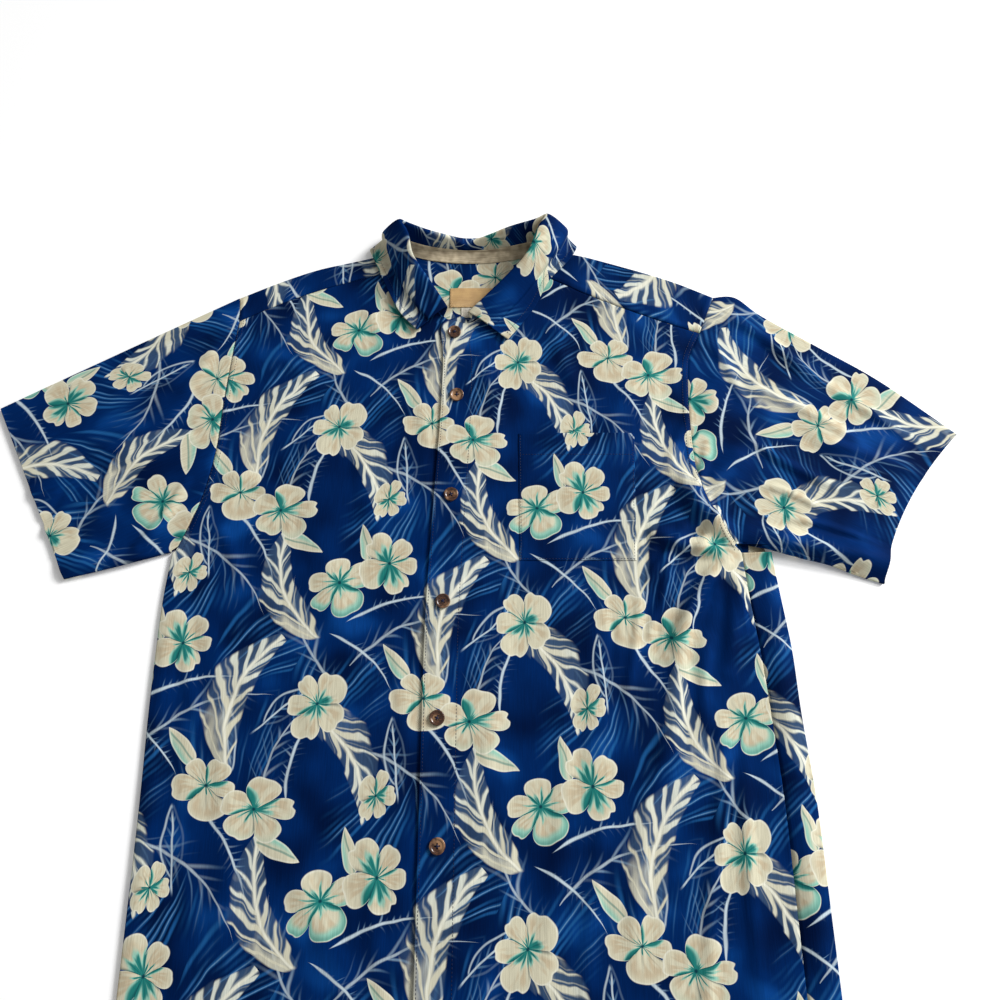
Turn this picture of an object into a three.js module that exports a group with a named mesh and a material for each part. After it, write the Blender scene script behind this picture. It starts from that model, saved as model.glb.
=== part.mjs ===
// Short-sleeved aloha shirt lying on its back on a flat surface, buttoned up.
// Millimetres, +Z up. The front faces up, the collar points along +Y, and the wearer's
// left side lies on +X. The surface is z = 0.
import * as THREE from 'three';

// Driving dimensions of the cloth
const WALL = 1.2;
const SEAM_GAP = 0.3;
const FLAT_LAYER = WALL / 2;
const FRONT_LAYER = 3.0;
const LOWEST_FRONT = 2.5;
const LAP_RISE = 1.9;
const STACK_STEP = WALL + SEAM_GAP;
const COLLAR_SEAT = 1.9;
const SIDE_TUCK = 12;

// Driving dimensions of the trim
const TRIM_WALL = 1.0;
const TAPE_DEPTH = 12;
const TAPE_TOP = 9;
const BUTTON_RADIUS = 7.5;
const BUTTON_THICKNESS = 3;
const BUTTON_RIM = 1.6;
const BUTTON_DISH = 0.9;

// Numbers of cells of each grid
const BODY_ROWS = 14;
const TOP_ROWS = 12;
const FRONT_COLUMNS = 20;
const UNDER_COLUMNS = 11;
const BACK_COLUMNS = 9;
const ROLL_COLUMNS = 3;
const FOLD_STEPS = 4;
const SLEEVE_ROWS = 7;
const COLLAR_ROWS = 32;

const CLOTH = { color: 0x0b2a6e, roughness: 0.62, metalness: 0 };
const TAPE_CLOTH = { color: 0x9a9183, roughness: 0.85, metalness: 0 };
const LABEL_CLOTH = { color: 0xb8924f, roughness: 0.7, metalness: 0 };
const BUTTON_SHELL = { color: 0x4a3426, roughness: 0.35, metalness: 0 };

// Tables: each row becomes an object with the named columns
const table = (names, rows) => rows.map(
  (row) => Object.fromEntries(names.split(' ').map((name, i) => [name, row[i]])),
);

// Lower body, from the hem to the armpits, as sections across it at the height y.
// leftFold and rightFold are the silhouette, underEdge and overEdge the centre edges of
// the two fronts, and rightSeam the side seam, which has rolled onto the front.
const BODY = table('y leftFold underEdge overEdge rightSeam rightFold', [
  [-255, -331, -39, -75, 266, 296],
  [-160, -332, -39, -75, 265, 295],
  [-60, -334, -37, -75, 264, 294],
  [20, -337, -36, -75, 260, 289],
  [80, -338, -36, -75, 256, 287],
  [130, -338, -35, -74, 251, 282],
  [179, -335, -34, -72, 247, 277],
]);

// Upper parts of the panels, from the armpit to the yoke seam. bow lifts the middle of a row.
const UNDER_TOP = table('leftX leftY rightX rightY bow', [
  [-332, 179, -34, 179, 0],
  [-313, 232, -34, 262, 0],
  [-303, 290, -33, 345, 0],
  [-301, 345, -37, 446, 0],
  [-298, 395, -61, 451, 0],
  [-296, 424, -84.5, 485, 3],
  [-294, 447, -104, 513, 10],
]);
const OVER_TOP = table('leftX leftY rightX rightY bow', [
  [-72, 179, 247, 179, 0],
  [-69, 245, 226, 215, 0],
  [-65, 320, 209, 262, 0],
  [-63, 395, 205, 320, 0],
  [-64, 446, 206, 365, 0],
  [-31, 445, 209, 397, 0],
  [8.5, 485.5, 216, 416, -2],
  [34, 514, 224, 432, -4],
]);
const BACK_TOP = table('leftX leftY rightX rightY bow', [
  [-318, 179, 273, 179, 0],
  [-300, 235, 254, 235, 0],
  [-292, 300, 243, 300, 0],
  [-290, 360, 239, 360, 0],
  [-291, 431, 238, 425, 4],
]);

// Yoke, from the wearer's right armhole to the left one: its seam with the back, the
// shoulder fold or the neck edge, and its seam with the front where it comes over.
const YOKE = table('backX foldX foldY seamX', [
  [-291, -297, 477, -294],
  [-243, -250, 499, -246],
  [-196, -206, 516, -199],
  [-150, -155, 528, -151],
  [-117, -113, 538, -104],
  [-80, -80, 542, -80],
  [-30, -30, 541.5, -30],
  [14, 14, 542, 14],
  [54, 49, 540, 34],
  [96, 100, 531, 95],
  [144, 150, 516, 146],
  [192, 200, 498, 190],
  [238, 243, 478, 224],
]);
const YOKE_NECK_LEFT = 4;
const YOKE_NECK_RIGHT = 8;

// Sleeves. The fold lines run from the armhole to the opening; bow bends the two ends.
const RIGHT_SLEEVE = {
  upperFold: table('x y', [[-297.6, 477], [-420, 409], [-543, 340]]),
  lowerFold: table('x y', [[-336, 180], [-389, 165], [-441, 152]]),
  openingBow: 0,
};
const LEFT_SLEEVE = {
  upperFold: table('x y', [[243.6, 478], [268, 478], [296, 454], [356, 414], [417, 373], [491, 310]]),
  lowerFold: table('x y', [[279, 181], [307, 173], [335, 166], [361, 156], [388, 147]]),
  openingBow: 16,
};

// Collar, from the wearer's right front end round the back of the neck to the left end:
// the neck seam, the crest of the roll, the place where the leaf bends down and lies, and
// the leaf's edge. At the back of the neck the leaf lies under the yoke, at the front on it.
const COLLAR = table('neckX neckY crestX crestY crestZ bendX bendY bendZ edgeX edgeY edgeZ', [
  [-64, 452, -60, 461, 11, -78, 447, 11, -93, 434, 8],
  [-86, 484, -79, 488, 21, -99, 474, 15, -114, 458, 7.5],
  [-106, 512, -98, 515, 32, -117, 505, 20, -133, 497, 8],
  [-114, 528, -104, 541, 37, -127, 534, 24, -144, 522, 8.5],
  [-117, 538, -112, 555, 39, -134, 555, 19, -151, 541, 4],
  [-106, 541, -100, 553, 34, -122, 565, 9, -138, 537, 0.6],
  [-84, 540, -80, 550, 26, -94, 564, 5, -106, 501, 0.6],
  [-58, 539, -53, 547, 17, -58, 558, 4, -68, 491, 0.6],
  [-34, 539, -38, 543, 12, -34, 556, 4, -34, 489, 0.6],
  [-8, 539, -14, 548, 20, -8, 558, 4, 0, 491, 0.6],
  [18, 540, 10, 553, 29, 26, 564, 5, 38, 500, 0.6],
  [42, 541, 38, 556, 38, 60, 567, 10, 76, 538, 0.6],
  [53, 541, 51, 560, 42, 76, 559, 20, 89, 545, 4],
  [49, 530, 43, 546, 39, 66, 536, 24, 80, 525, 8.5],
  [37, 512, 30, 516, 33, 46, 506, 22, 56, 497, 8],
  [11, 484, 3, 489, 22, 22, 474, 15, 38, 461, 7.5],
  [-31, 446, -35, 454, 11, -12, 438, 11, 9, 422, 8],
]);

// Largest folds of the upper layer: the line of each crest or trough, how far its middle
// bows to the left, its half-width and its height, which is negative for a trough.
const FOLDS = table('x0 y0 x1 y1 bow half height', [
  [258, 196, 398, 168, 0, 21, 12],
  [270, 174, 284, -258, 0, 20, 4.5],
  [236, 196, 190, 262, 4, 20, 7],
  [232, 182, 158, 200, 5, 15, 5],
  [228, 168, 176, 88, -6, 17, 6],
  [216, 252, 262, 292, -4, 22, 5],
  [236, 150, 222, 60, 3, 14, 4],
  [176, 96, 150, -40, 5, 18, 3.5],
  [96, 110, 84, -70, 4, 22, 2.5],
  [150, 380, 120, 300, 0, 26, 2.5],
  [-348, 178, -450, 160, 0, 15, 3.5],
  [-330, 178, -322, -255, 0, 16, 2.2],
  [-318, 200, -270, 262, 0, 22, 2.5],
  [-210, 330, -170, 120, 8, 34, 1.8],
  [330, 330, 405, 262, -6, 24, 3],
  [226, 330, 262, 392, 5, 22, 3],
  [-360, 330, -440, 250, 6, 30, 2],
]);

// The neck's outline in plan, over which everything rests on the collar's turned-under leaf
const NECK = { x: -30, y: 520, halfWidth: 116, halfDepth: 46, spread: 1.35, lift: 1.7 };

// Chest pocket and back-neck label and size tab, each from one corner to the other
const POCKET = { left: 20, right: 139, bottom: 171, top: 310, lean: 5, columns: 9, rows: 10 };
const LABEL = { left: -57, right: -4, bottom: 466, top: 490, columns: 5, rows: 3 };
const SIZE_TAB = { left: -44, right: -33, bottom: 453, top: 465, columns: 2, rows: 2 };

// Buttons down the over front, from the collar to the hem
const BUTTONS = table('x y', [[-51, 432], [-47, 355], [-51, 241], [-57, 129], [-60, 17], [-57, -95]]);

const clamp = (value, low, high) => Math.min(Math.max(value, low), high);
const mix = (a, b, t) => a + (b - a) * t;
const mixPoint = (a, b, t) => a.clone().lerp(b, t);
const smooth = (t) => {
  const s = clamp(t, 0, 1);
  return s * s * (3 - 2 * s);
};

// A table's row at the place t between its first row (0) and its last (1), by a
// Catmull-Rom curve through every column
function sample(rows, t) {
  const span = rows.length - 1;
  const at = clamp(t, 0, 1) * span;
  const i = Math.min(Math.floor(at), span - 1);
  const f = at - i;
  const [a, b, c, d] = [-1, 0, 1, 2].map((k) => rows[clamp(i + k, 0, span)]);
  return Object.fromEntries(Object.keys(b).map((name) => [name, 0.5 * (
    2 * b[name] + (c[name] - a[name]) * f
    + (2 * a[name] - 5 * b[name] + 4 * c[name] - d[name]) * f ** 2
    + (3 * b[name] - a[name] - 3 * c[name] + d[name]) * f ** 3
  )]));
}

// Height of one fold at a place in plan: a cosine bell across it that fades at both ends
function foldHeight({ x0, y0, x1, y1, bow, half, height }, x, y) {
  const length = Math.hypot(x1 - x0, y1 - y0);
  const [ux, uy] = [(x1 - x0) / length, (y1 - y0) / length];
  const along = ((x - x0) * ux + (y - y0) * uy) / length;
  const s = clamp(along, 0, 1);
  const side = (y - y0) * ux - (x - x0) * uy - bow * 4 * s * (1 - s);
  const beyond = (along - s) * length;
  const far = Math.hypot(side, beyond) / half;
  if (far >= 1) return 0;
  const fade = mix(0.45, 1, smooth(Math.min(s, 1 - s) * 4));
  return height * fade * (0.5 + 0.5 * Math.cos(Math.PI * far));
}

function neckLift(x, y) {
  const far = Math.hypot((x - NECK.x) / NECK.halfWidth, (y - NECK.y) / NECK.halfDepth);
  return NECK.lift * smooth((NECK.spread - far) / (NECK.spread - 1));
}

// Mid-heights of the layers at a place in plan
const backHeight = (x, y) => FLAT_LAYER + neckLift(x, y);
const frontHeight = (x, y) => Math.max(
  LOWEST_FRONT,
  FRONT_LAYER + FOLDS.reduce((sum, fold) => sum + foldHeight(fold, x, y), 0),
) + neckLift(x, y);
const overHeight = (x, y) => frontHeight(x, y) + LAP_RISE * smooth((12 - x) / 40);

// Turns the cloth round a fold. The silhouette is at (x, y), out points away from the
// garment in plan, and turn runs from 0 on the upper layer to 1 on the lower one.
function aroundFold(x, y, out, turn) {
  const low = backHeight(x - out.x * 2, y - out.y * 2);
  const inset = (frontHeight(x, y) - low) / 2;
  const high = frontHeight(x - out.x * inset, y - out.y * inset);
  const radius = (high - low) / 2;
  const angle = turn * Math.PI;
  const reach = radius * Math.sin(angle) - radius;
  return new THREE.Vector3(x + out.x * reach, y + out.y * reach, low + radius + radius * Math.cos(angle));
}

// A grid of mid-surface points, row by row, and the cells between them that are cloth.
// A cell's corners run anticlockwise seen from the side that faces out.
function sheetGrid(rows, cellIsCloth = () => true, closed = false) {
  const width = rows[0].length;
  const points = rows.flat();
  const cells = [];
  for (let j = 0; j + 1 < rows.length; j += 1) {
    for (let i = 0; i + (closed ? 0 : 1) < width; i += 1) {
      const next = (i + 1) % width;
      const corners = [j * width + i, j * width + next, (j + 1) * width + next, (j + 1) * width + i];
      if (cellIsCloth(i, j)) cells.push(corners);
    }
  }
  return { points, cells };
}

// Gives a mid-surface its thickness: an outer skin, an inner skin and the edges between
function wall({ points, cells }, thickness = WALL) {
  const normals = points.map(() => new THREE.Vector3());
  for (const [a, b, c, d] of cells) {
    const across = points[c].clone().sub(points[a]);
    const normal = across.cross(points[d].clone().sub(points[b]));
    for (const corner of [a, b, c, d]) normals[corner].add(normal);
  }
  const number = new Map();
  const position = [];
  for (const corner of new Set(cells.flat())) {
    number.set(corner, number.size);
    normals[corner].normalize();
    position.push(...points[corner].clone().addScaledVector(normals[corner], thickness / 2).toArray());
  }
  const count = number.size;
  for (const corner of number.keys()) {
    position.push(...points[corner].clone().addScaledVector(normals[corner], -thickness / 2).toArray());
  }
  const index = [];
  const edges = new Map();
  for (const cell of cells) {
    const [a, b, c, d] = cell.map((corner) => number.get(corner));
    index.push(a, b, c, a, c, d);
    index.push(a + count, c + count, b + count, a + count, d + count, c + count);
    for (const [from, to] of [[a, b], [b, c], [c, d], [d, a]]) {
      if (!edges.delete(`${to} ${from}`)) edges.set(`${from} ${to}`, [from, to]);
    }
  }
  for (const [from, to] of edges.values()) {
    index.push(from, from + count, to + count, from, to + count, to);
  }
  const geometry = new THREE.BufferGeometry();
  geometry.setAttribute('position', new THREE.Float32BufferAttribute(position, 3));
  geometry.setIndex(index);
  return geometry;
}

const garment = new THREE.Group();

function addPiece(name, geometry, finish) {
  geometry.computeVertexNormals();
  const piece = new THREE.Mesh(geometry, new THREE.MeshStandardMaterial(finish));
  piece.name = name;
  garment.add(piece);
  return piece;
}

const steps = (count, f) => Array.from({ length: count + 1 }, (_, i) => f(i / count));
const LEFTWARD = { x: -1, y: 0 };
const RIGHTWARD = { x: 1, y: 0 };
const point = (x, y, height) => new THREE.Vector3(x, y, height(x, y));

// One row across a panel from its left edge to its right one
function rowAcross(row, columns, height) {
  return steps(columns, (u) => {
    const y = mix(row.leftY, row.rightY, u) + row.bow * 4 * u * (1 - u);
    return point(mix(row.leftX, row.rightX, u), y, height);
  });
}

// The radius that the cloth has at a side fold
const foldInset = (x, y, out) => x - aroundFold(x, y, out, 0).x;

// Right front, the under one: its side edge goes round the left fold and lies underneath
function underFrontRows() {
  const body = steps(BODY_ROWS, (v) => sample(BODY, v)).map(({ y, leftFold, underEdge }) => {
    const crest = leftFold - foldInset(leftFold, y, LEFTWARD);
    const turned = steps(FOLD_STEPS, (t) => aroundFold(leftFold, y, LEFTWARD, 1 - t));
    const tuck = turned[0].clone().setX(turned[0].x + SIDE_TUCK);
    const row = { leftX: crest, leftY: y, rightX: underEdge, rightY: y, bow: 0 };
    return [tuck, ...turned, ...rowAcross(row, UNDER_COLUMNS, frontHeight).slice(1)];
  });
  const top = steps(TOP_ROWS, (v) => sample(UNDER_TOP, v)).slice(1).map((row) => {
    const across = rowAcross(row, UNDER_COLUMNS, frontHeight);
    return [...Array(FOLD_STEPS + 1).fill(across[0]), ...across];
  });
  return [...body, ...top];
}

// Left front, the over one, from its placket edge to the side seam and armhole
function overFrontRows() {
  const body = steps(BODY_ROWS, (v) => sample(BODY, v)).map(({ y, overEdge, rightSeam }) => (
    { leftX: overEdge, leftY: y, rightX: rightSeam, rightY: y, bow: 0 }
  ));
  const top = steps(TOP_ROWS, (v) => sample(OVER_TOP, v)).slice(1);
  return [...body, ...top].map((row) => rowAcross(row, FRONT_COLUMNS, overHeight));
}

// Back, which goes round the right fold and comes over to the side seam
function backRows(underFront, overFront) {
  const body = steps(BODY_ROWS, (v) => sample(BODY, v)).map(({ y, rightFold }, j) => {
    const left = underFront[j][0].x + SEAM_GAP;
    const turned = steps(FOLD_STEPS, (t) => aroundFold(rightFold, y, RIGHTWARD, 1 - t));
    const seam = overFront[j][FRONT_COLUMNS].x + SEAM_GAP;
    const row = { leftX: left, leftY: y, rightX: turned[0].x, rightY: y, bow: 0 };
    const roll = steps(ROLL_COLUMNS, (t) => point(mix(turned[FOLD_STEPS].x, seam, t), y, frontHeight));
    return [...rowAcross(row, BACK_COLUMNS, backHeight), ...turned.slice(1), ...roll.slice(1)];
  });
  const top = steps(TOP_ROWS, (v) => sample(BACK_TOP, v)).slice(1).map((row) => {
    const across = rowAcross(row, BACK_COLUMNS, backHeight);
    return [...across, ...Array(FOLD_STEPS + ROLL_COLUMNS).fill(across[BACK_COLUMNS])];
  });
  return [...body, ...top];
}

// Yoke columns from its back seam up to the fold, round it and down to the front seam
const YOKE_BACK_ROWS = 6;
const YOKE_FRONT_ROWS = 2;
const YOKE_STEP = 2;

// The place on a panel's edge that has the given x
function onEdge(edge, x) {
  const inside = edge.findIndex((p, i) => i + 2 >= edge.length || edge[i + 1].x >= x);
  const [a, b] = [edge[inside], edge[inside + 1]];
  return mixPoint(a, b, (x - a.x) / (b.x - a.x));
}

function yokeColumn(t, backEdge, frontEdges) {
  const { backX, foldX, foldY, seamX } = sample(YOKE, t);
  const ahead = sample(YOKE, t + 0.01);
  const behind = sample(YOKE, t - 0.01);
  const along = new THREE.Vector2(ahead.foldX - behind.foldX, ahead.foldY - behind.foldY).normalize();
  const out = { x: -along.y, y: along.x };
  const turned = steps(FOLD_STEPS, (s) => aroundFold(foldX, foldY, out, 1 - s));
  const backSeam = onEdge(backEdge, backX).y + SEAM_GAP;
  const under = steps(YOKE_BACK_ROWS, (s) => (
    point(mix(backX, turned[0].x, s), mix(backSeam, turned[0].y, s), backHeight)
  ));
  const crest = turned[FOLD_STEPS];
  const isOver = foldX > NECK.x;
  const frontSeam = onEdge(frontEdges[isOver ? 1 : 0], seamX).y + SEAM_GAP + 0.1;
  const over = steps(YOKE_FRONT_ROWS, (s) => (
    point(mix(crest.x, seamX, s), mix(crest.y, frontSeam, s), isOver ? overHeight : frontHeight)
  ));
  return [...under, ...turned.slice(1), ...over.slice(1)];
}

function yokeGrid(backEdge, frontEdges) {
  const columns = steps((YOKE.length - 1) * YOKE_STEP, (t) => yokeColumn(t, backEdge, frontEdges));
  const isStrip = (j) => j < YOKE_NECK_LEFT * YOKE_STEP || j >= YOKE_NECK_RIGHT * YOKE_STEP;
  const isCloth = (i, j) => i < YOKE_BACK_ROWS || isStrip(j);
  return { columns, ...sheetGrid(columns, isCloth) };
}

// An armhole edge, cleared by the seam gap: its inner points in plan, each with the share
// of the edge's length that lies before it
function armholeEdge(edge, away) {
  const cleared = edge.map((p) => new THREE.Vector2(p.x + away * (SEAM_GAP + 0.2), p.y));
  const before = [0];
  for (let i = 1; i < cleared.length; i += 1) before.push(before[i - 1] + cleared[i].distanceTo(cleared[i - 1]));
  return cleared.map((p, i) => ({ x: p.x, y: p.y, share: before[i] / before.at(-1) })).slice(1, -1);
}

// A sleeve: a flat tube whose two layers start on the armhole points of front and back
function sleeveRows({ upperFold, lowerFold, openingBow }, frontArmhole, backArmhole) {
  const away = Math.sign(upperFold.at(-1).x);
  const upperEdge = armholeEdge(frontArmhole, away);
  const lowerEdge = armholeEdge(backArmhole, away).reverse();
  const start = { top: sample(upperFold, 0), low: sample(lowerFold, 0) };
  return steps(SLEEVE_ROWS, (v) => {
    const top = sample(upperFold, v);
    const low = sample(lowerFold, v);
    const upward = new THREE.Vector2(top.x - low.x, top.y - low.y).normalize();
    const downward = upward.clone().negate();
    const layer = (edge, height) => edge.map(({ x, y, share }) => {
      const bend = -away * openingBow * 4 * share * (1 - share) * v;
      const atX = mix(top.x, low.x, share) + (1 - v) * (x - mix(start.top.x, start.low.x, share)) + bend;
      const atY = mix(top.y, low.y, share) + (1 - v) * (y - mix(start.top.y, start.low.y, share));
      return point(atX, atY, height);
    });
    const lowTurn = steps(FOLD_STEPS, (t) => aroundFold(low.x, low.y, downward, t));
    const topTurn = steps(FOLD_STEPS, (t) => aroundFold(top.x, top.y, upward, 1 - t));
    const ring = [...layer(upperEdge, frontHeight), ...lowTurn, ...layer(lowerEdge, backHeight), ...topTurn];
    return away > 0 ? ring.reverse() : ring;
  });
}

// Collar: each section goes up from the neck seam, over the crest and down to the edge
const COLLAR_BENDS = 8;

const isBehind = (t) => t > 0.3 && t < 0.7;

function collarSeat(x, y, t) {
  const onFront = t > 0.5 ? overHeight : frontHeight;
  return (isBehind(t) ? backHeight : onFront)(x, y) + COLLAR_SEAT;
}

function collarSection(t) {
  const row = sample(COLLAR, t);
  const lying = isBehind(t) ? 1 : 0.85;
  const path = [
    { x: row.neckX, y: row.neckY, z: collarSeat(row.neckX, row.neckY, t) },
    { x: row.crestX, y: row.crestY, z: row.crestZ },
    { x: row.bendX, y: row.bendY, z: row.bendZ },
    { x: mix(row.bendX, row.edgeX, 0.2), y: mix(row.bendY, row.edgeY, 0.2), z: mix(row.bendZ, row.edgeZ, lying) },
    { x: row.edgeX, y: row.edgeY, z: row.edgeZ },
  ];
  return steps(COLLAR_BENDS, (s) => {
    const { x, y, z } = sample(path, s);
    return new THREE.Vector3(x, y, Math.max(z, FLAT_LAYER));
  });
}

// Neck tape over the back neck seam: it lies on the yoke and leans on the stand
const TAPE_START = 0.315;
const TAPE_END = 0.68;
const TAPE_COLUMNS = 16;

function tapeSection(u) {
  const row = sample(COLLAR, mix(TAPE_START, TAPE_END, u));
  const clear = STACK_STEP - (WALL - TRIM_WALL) / 2;
  const foot = new THREE.Vector3(row.neckX, row.neckY, backHeight(row.neckX, row.neckY) + COLLAR_SEAT);
  const crest = new THREE.Vector3(row.crestX, row.crestY, row.crestZ);
  const rise = crest.clone().sub(foot);
  const inward = new THREE.Vector3(0, -rise.z, rise.y).normalize();
  const share = clamp((TAPE_TOP - foot.z) / rise.z, 0, 0.66);
  const top = mixPoint(foot, crest, share).addScaledVector(inward, clear + 1.1);
  const corner = foot.clone().addScaledVector(inward, clear + 1.0);
  const front = foot.y - TAPE_DEPTH;
  const low = new THREE.Vector3(foot.x, front, backHeight(foot.x, front) + clear + 0.1);
  return [low, mixPoint(low, corner, 0.5), corner, mixPoint(corner, top, 0.5), top];
}

// The height of a panel's mid-surface at a place in plan, on the panel's own facets
function heightOn({ points, cells }, x, y) {
  for (const [a, b, c, d] of cells) {
    for (const corners of [[a, b, c], [a, c, d]]) {
      const [p, q, r] = corners.map((corner) => points[corner]);
      const area = (q.x - p.x) * (r.y - p.y) - (r.x - p.x) * (q.y - p.y);
      const shareQ = ((x - p.x) * (r.y - p.y) - (r.x - p.x) * (y - p.y)) / area;
      const shareR = ((q.x - p.x) * (y - p.y) - (x - p.x) * (q.y - p.y)) / area;
      if (Math.min(shareQ, shareR, 1 - shareQ - shareR) >= -0.001) {
        return p.z + shareQ * (q.z - p.z) + shareR * (r.z - p.z);
      }
    }
  }
  throw new Error(`no cloth at ${x}, ${y}`);
}

// A patch that lies on a panel: the panel's own facets, moved out by its layer
function patchRows({ left, right, bottom, top, lean = 0, columns, rows }, panel, rise) {
  return steps(rows, (v) => steps(columns, (u) => {
    const x = mix(left, right, u) + lean * v * u;
    const y = mix(bottom, top, v);
    return new THREE.Vector3(x, y, heightOn(panel, x, y) + rise);
  }));
}

// Button: a round disc with a raised rim and a shallow dish
function buttonGeometry() {
  const profile = [
    [0, 0], [BUTTON_RADIUS - 1, 0], [BUTTON_RADIUS, BUTTON_THICKNESS * 0.45],
    [BUTTON_RADIUS - 0.5, BUTTON_THICKNESS], [BUTTON_RADIUS - BUTTON_RIM, BUTTON_THICKNESS],
    [BUTTON_RADIUS - BUTTON_RIM - 1, BUTTON_THICKNESS - BUTTON_DISH], [0, BUTTON_THICKNESS - BUTTON_DISH],
  ].map(([radius, height]) => new THREE.Vector2(radius, height));
  return new THREE.LatheGeometry(profile, 14).rotateX(Math.PI / 2);
}

const underFront = underFrontRows();
const overFront = overFrontRows();
const back = backRows(underFront, overFront);
const yoke = yokeGrid(back.at(-1).slice(0, BACK_COLUMNS + 1), [underFront.at(-1).slice(FOLD_STEPS + 1), overFront.at(-1)]);
const isBodyRow = (j) => j < BODY_ROWS;
const overGrid = sheetGrid(overFront);
const yokeBack = { points: yoke.points, cells: yoke.cells.filter((cell) => cell[0] % yoke.columns[0].length < YOKE_BACK_ROWS) };

addPiece('back', wall(sheetGrid(back, (i, j) => i < BACK_COLUMNS || isBodyRow(j))), CLOTH);
addPiece('front_right', wall(sheetGrid(underFront, (i, j) => i > FOLD_STEPS || isBodyRow(j))), CLOTH);
addPiece('front_left', wall(overGrid), CLOTH);
addPiece('yoke', wall({ points: yoke.points, cells: yoke.cells.map((cell) => cell.toReversed()) }), CLOTH);

// The points of an armhole from the shoulder down, on the front or on the back
const armhole = (yokeColumnPoints, rows, column) => [
  ...yokeColumnPoints, ...rows.slice(BODY_ROWS).reverse().map((row) => row[column]),
];
const [rightEdge, leftEdge] = [yoke.columns[0], yoke.columns.at(-1)];
const stripOf = (column) => column.slice(-YOKE_FRONT_ROWS - 1);
const backOf = (column) => column.slice(0, YOKE_BACK_ROWS + 1).reverse();
const sleeve = (shape, onFront, onBack) => (
  wall(sheetGrid(sleeveRows(shape, onFront, onBack), () => true, true))
);
addPiece('sleeve_right', sleeve(
  RIGHT_SLEEVE,
  armhole(stripOf(rightEdge), underFront, FOLD_STEPS + 1),
  armhole(backOf(rightEdge), back, 0),
), CLOTH);
addPiece('sleeve_left', sleeve(
  LEFT_SLEEVE,
  armhole(stripOf(leftEdge), overFront, FRONT_COLUMNS),
  armhole(backOf(leftEdge), back, BACK_COLUMNS),
), CLOTH);

addPiece('collar', wall(sheetGrid(steps(COLLAR_ROWS, collarSection))), CLOTH);
addPiece('neck_tape', wall(sheetGrid(steps(TAPE_COLUMNS, tapeSection)), TRIM_WALL), TAPE_CLOTH);
addPiece('pocket', wall(sheetGrid(patchRows(POCKET, overGrid, STACK_STEP + 0.2))), CLOTH);
const trimRise = (WALL + TRIM_WALL) / 2 + SEAM_GAP;
addPiece('label', wall(sheetGrid(patchRows(LABEL, yokeBack, trimRise)), TRIM_WALL), LABEL_CLOTH);
addPiece('size_tab', wall(sheetGrid(patchRows(SIZE_TAB, yokeBack, trimRise)), TRIM_WALL), TAPE_CLOTH);

BUTTONS.forEach(({ x, y }, i) => {
  const button = addPiece(`button_${i + 1}`, buttonGeometry(), BUTTON_SHELL);
  button.position.set(x, y, heightOn(overGrid, x, y) + WALL / 2 + SEAM_GAP);
});

// The origin is the middle of the garment's outline, on the surface
garment.updateMatrixWorld(true);
const outline = new THREE.Box3().setFromObject(garment);
const middle = outline.getCenter(new THREE.Vector3());
garment.position.set(-middle.x, -middle.y, -outline.min.z);

export default garment;
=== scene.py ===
"""A short-sleeved aloha shirt, buttoned up and laid on its back on a plain floor.

Lengths are in millimetres in the lay frame: the camera's foot is at (0, 0), the collar
points along +Y and the wearer's left side lies on +X. Meshes are moved to the part's
frame and turned into metres when they are made.
"""
import math

import bpy
import numpy as np
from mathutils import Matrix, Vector


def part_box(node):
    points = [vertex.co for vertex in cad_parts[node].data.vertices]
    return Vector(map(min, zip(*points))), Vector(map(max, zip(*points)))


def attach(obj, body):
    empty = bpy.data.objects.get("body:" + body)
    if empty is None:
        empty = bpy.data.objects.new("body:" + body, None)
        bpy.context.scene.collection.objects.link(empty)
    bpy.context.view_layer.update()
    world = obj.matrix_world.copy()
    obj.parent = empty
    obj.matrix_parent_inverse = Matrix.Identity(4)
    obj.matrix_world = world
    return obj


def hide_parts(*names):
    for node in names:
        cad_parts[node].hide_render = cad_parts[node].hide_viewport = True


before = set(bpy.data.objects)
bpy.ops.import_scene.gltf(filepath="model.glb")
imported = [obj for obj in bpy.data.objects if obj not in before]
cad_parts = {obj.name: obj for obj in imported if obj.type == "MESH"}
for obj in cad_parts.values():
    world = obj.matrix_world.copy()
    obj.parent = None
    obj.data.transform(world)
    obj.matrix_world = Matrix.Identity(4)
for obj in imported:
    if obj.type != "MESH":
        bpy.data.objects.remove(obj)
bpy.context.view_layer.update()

# Layers of the cloth
SHELL = 0.7
BACK_LAYER = 0.6
FRONT_LAYER = 3.0
LOWEST_FRONT = 2.5
LOWEST_CREASED = 1.9
LAP_RISE = 1.9
COLLAR_RISE = 1.9
SEAM_GAP = 0.3
SIDE_TUCK = 12
COLLAR_SHELL = 1.5

# Cells of the cloth grids, and the closer places beside a seam with two stitch rows
CELL = 3.6
WIDE_CELL = 7.0
BESIDE_SEAM = (0.7, 1.8, 2.9, 4.2, 5.5, 6.6, 7.7, 9.0, 11.0)
BESIDE_HEM = (1.0, 2.2, 4.0, 7.0, 10.0, 13.0, 16.0, 18.0, 19.5, 21.0, 23.0)
TURNS = np.linspace(0, 1, 9)

# Lower body at heights from the hem to the armpits:
# y, left fold, under front's edge, over front's edge, right side seam, right fold
BODY = np.array([
    [-255, -331, -39, -75, 266, 296],
    [-160, -332, -39, -75, 265, 295],
    [-60, -334, -37, -75, 264, 294],
    [20, -337, -36, -75, 260, 289],
    [80, -338, -36, -75, 256, 287],
    [130, -338, -35, -74, 251, 282],
    [179, -335, -34, -72, 247, 277],
], float)
BODY_LENGTH = 434

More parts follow.
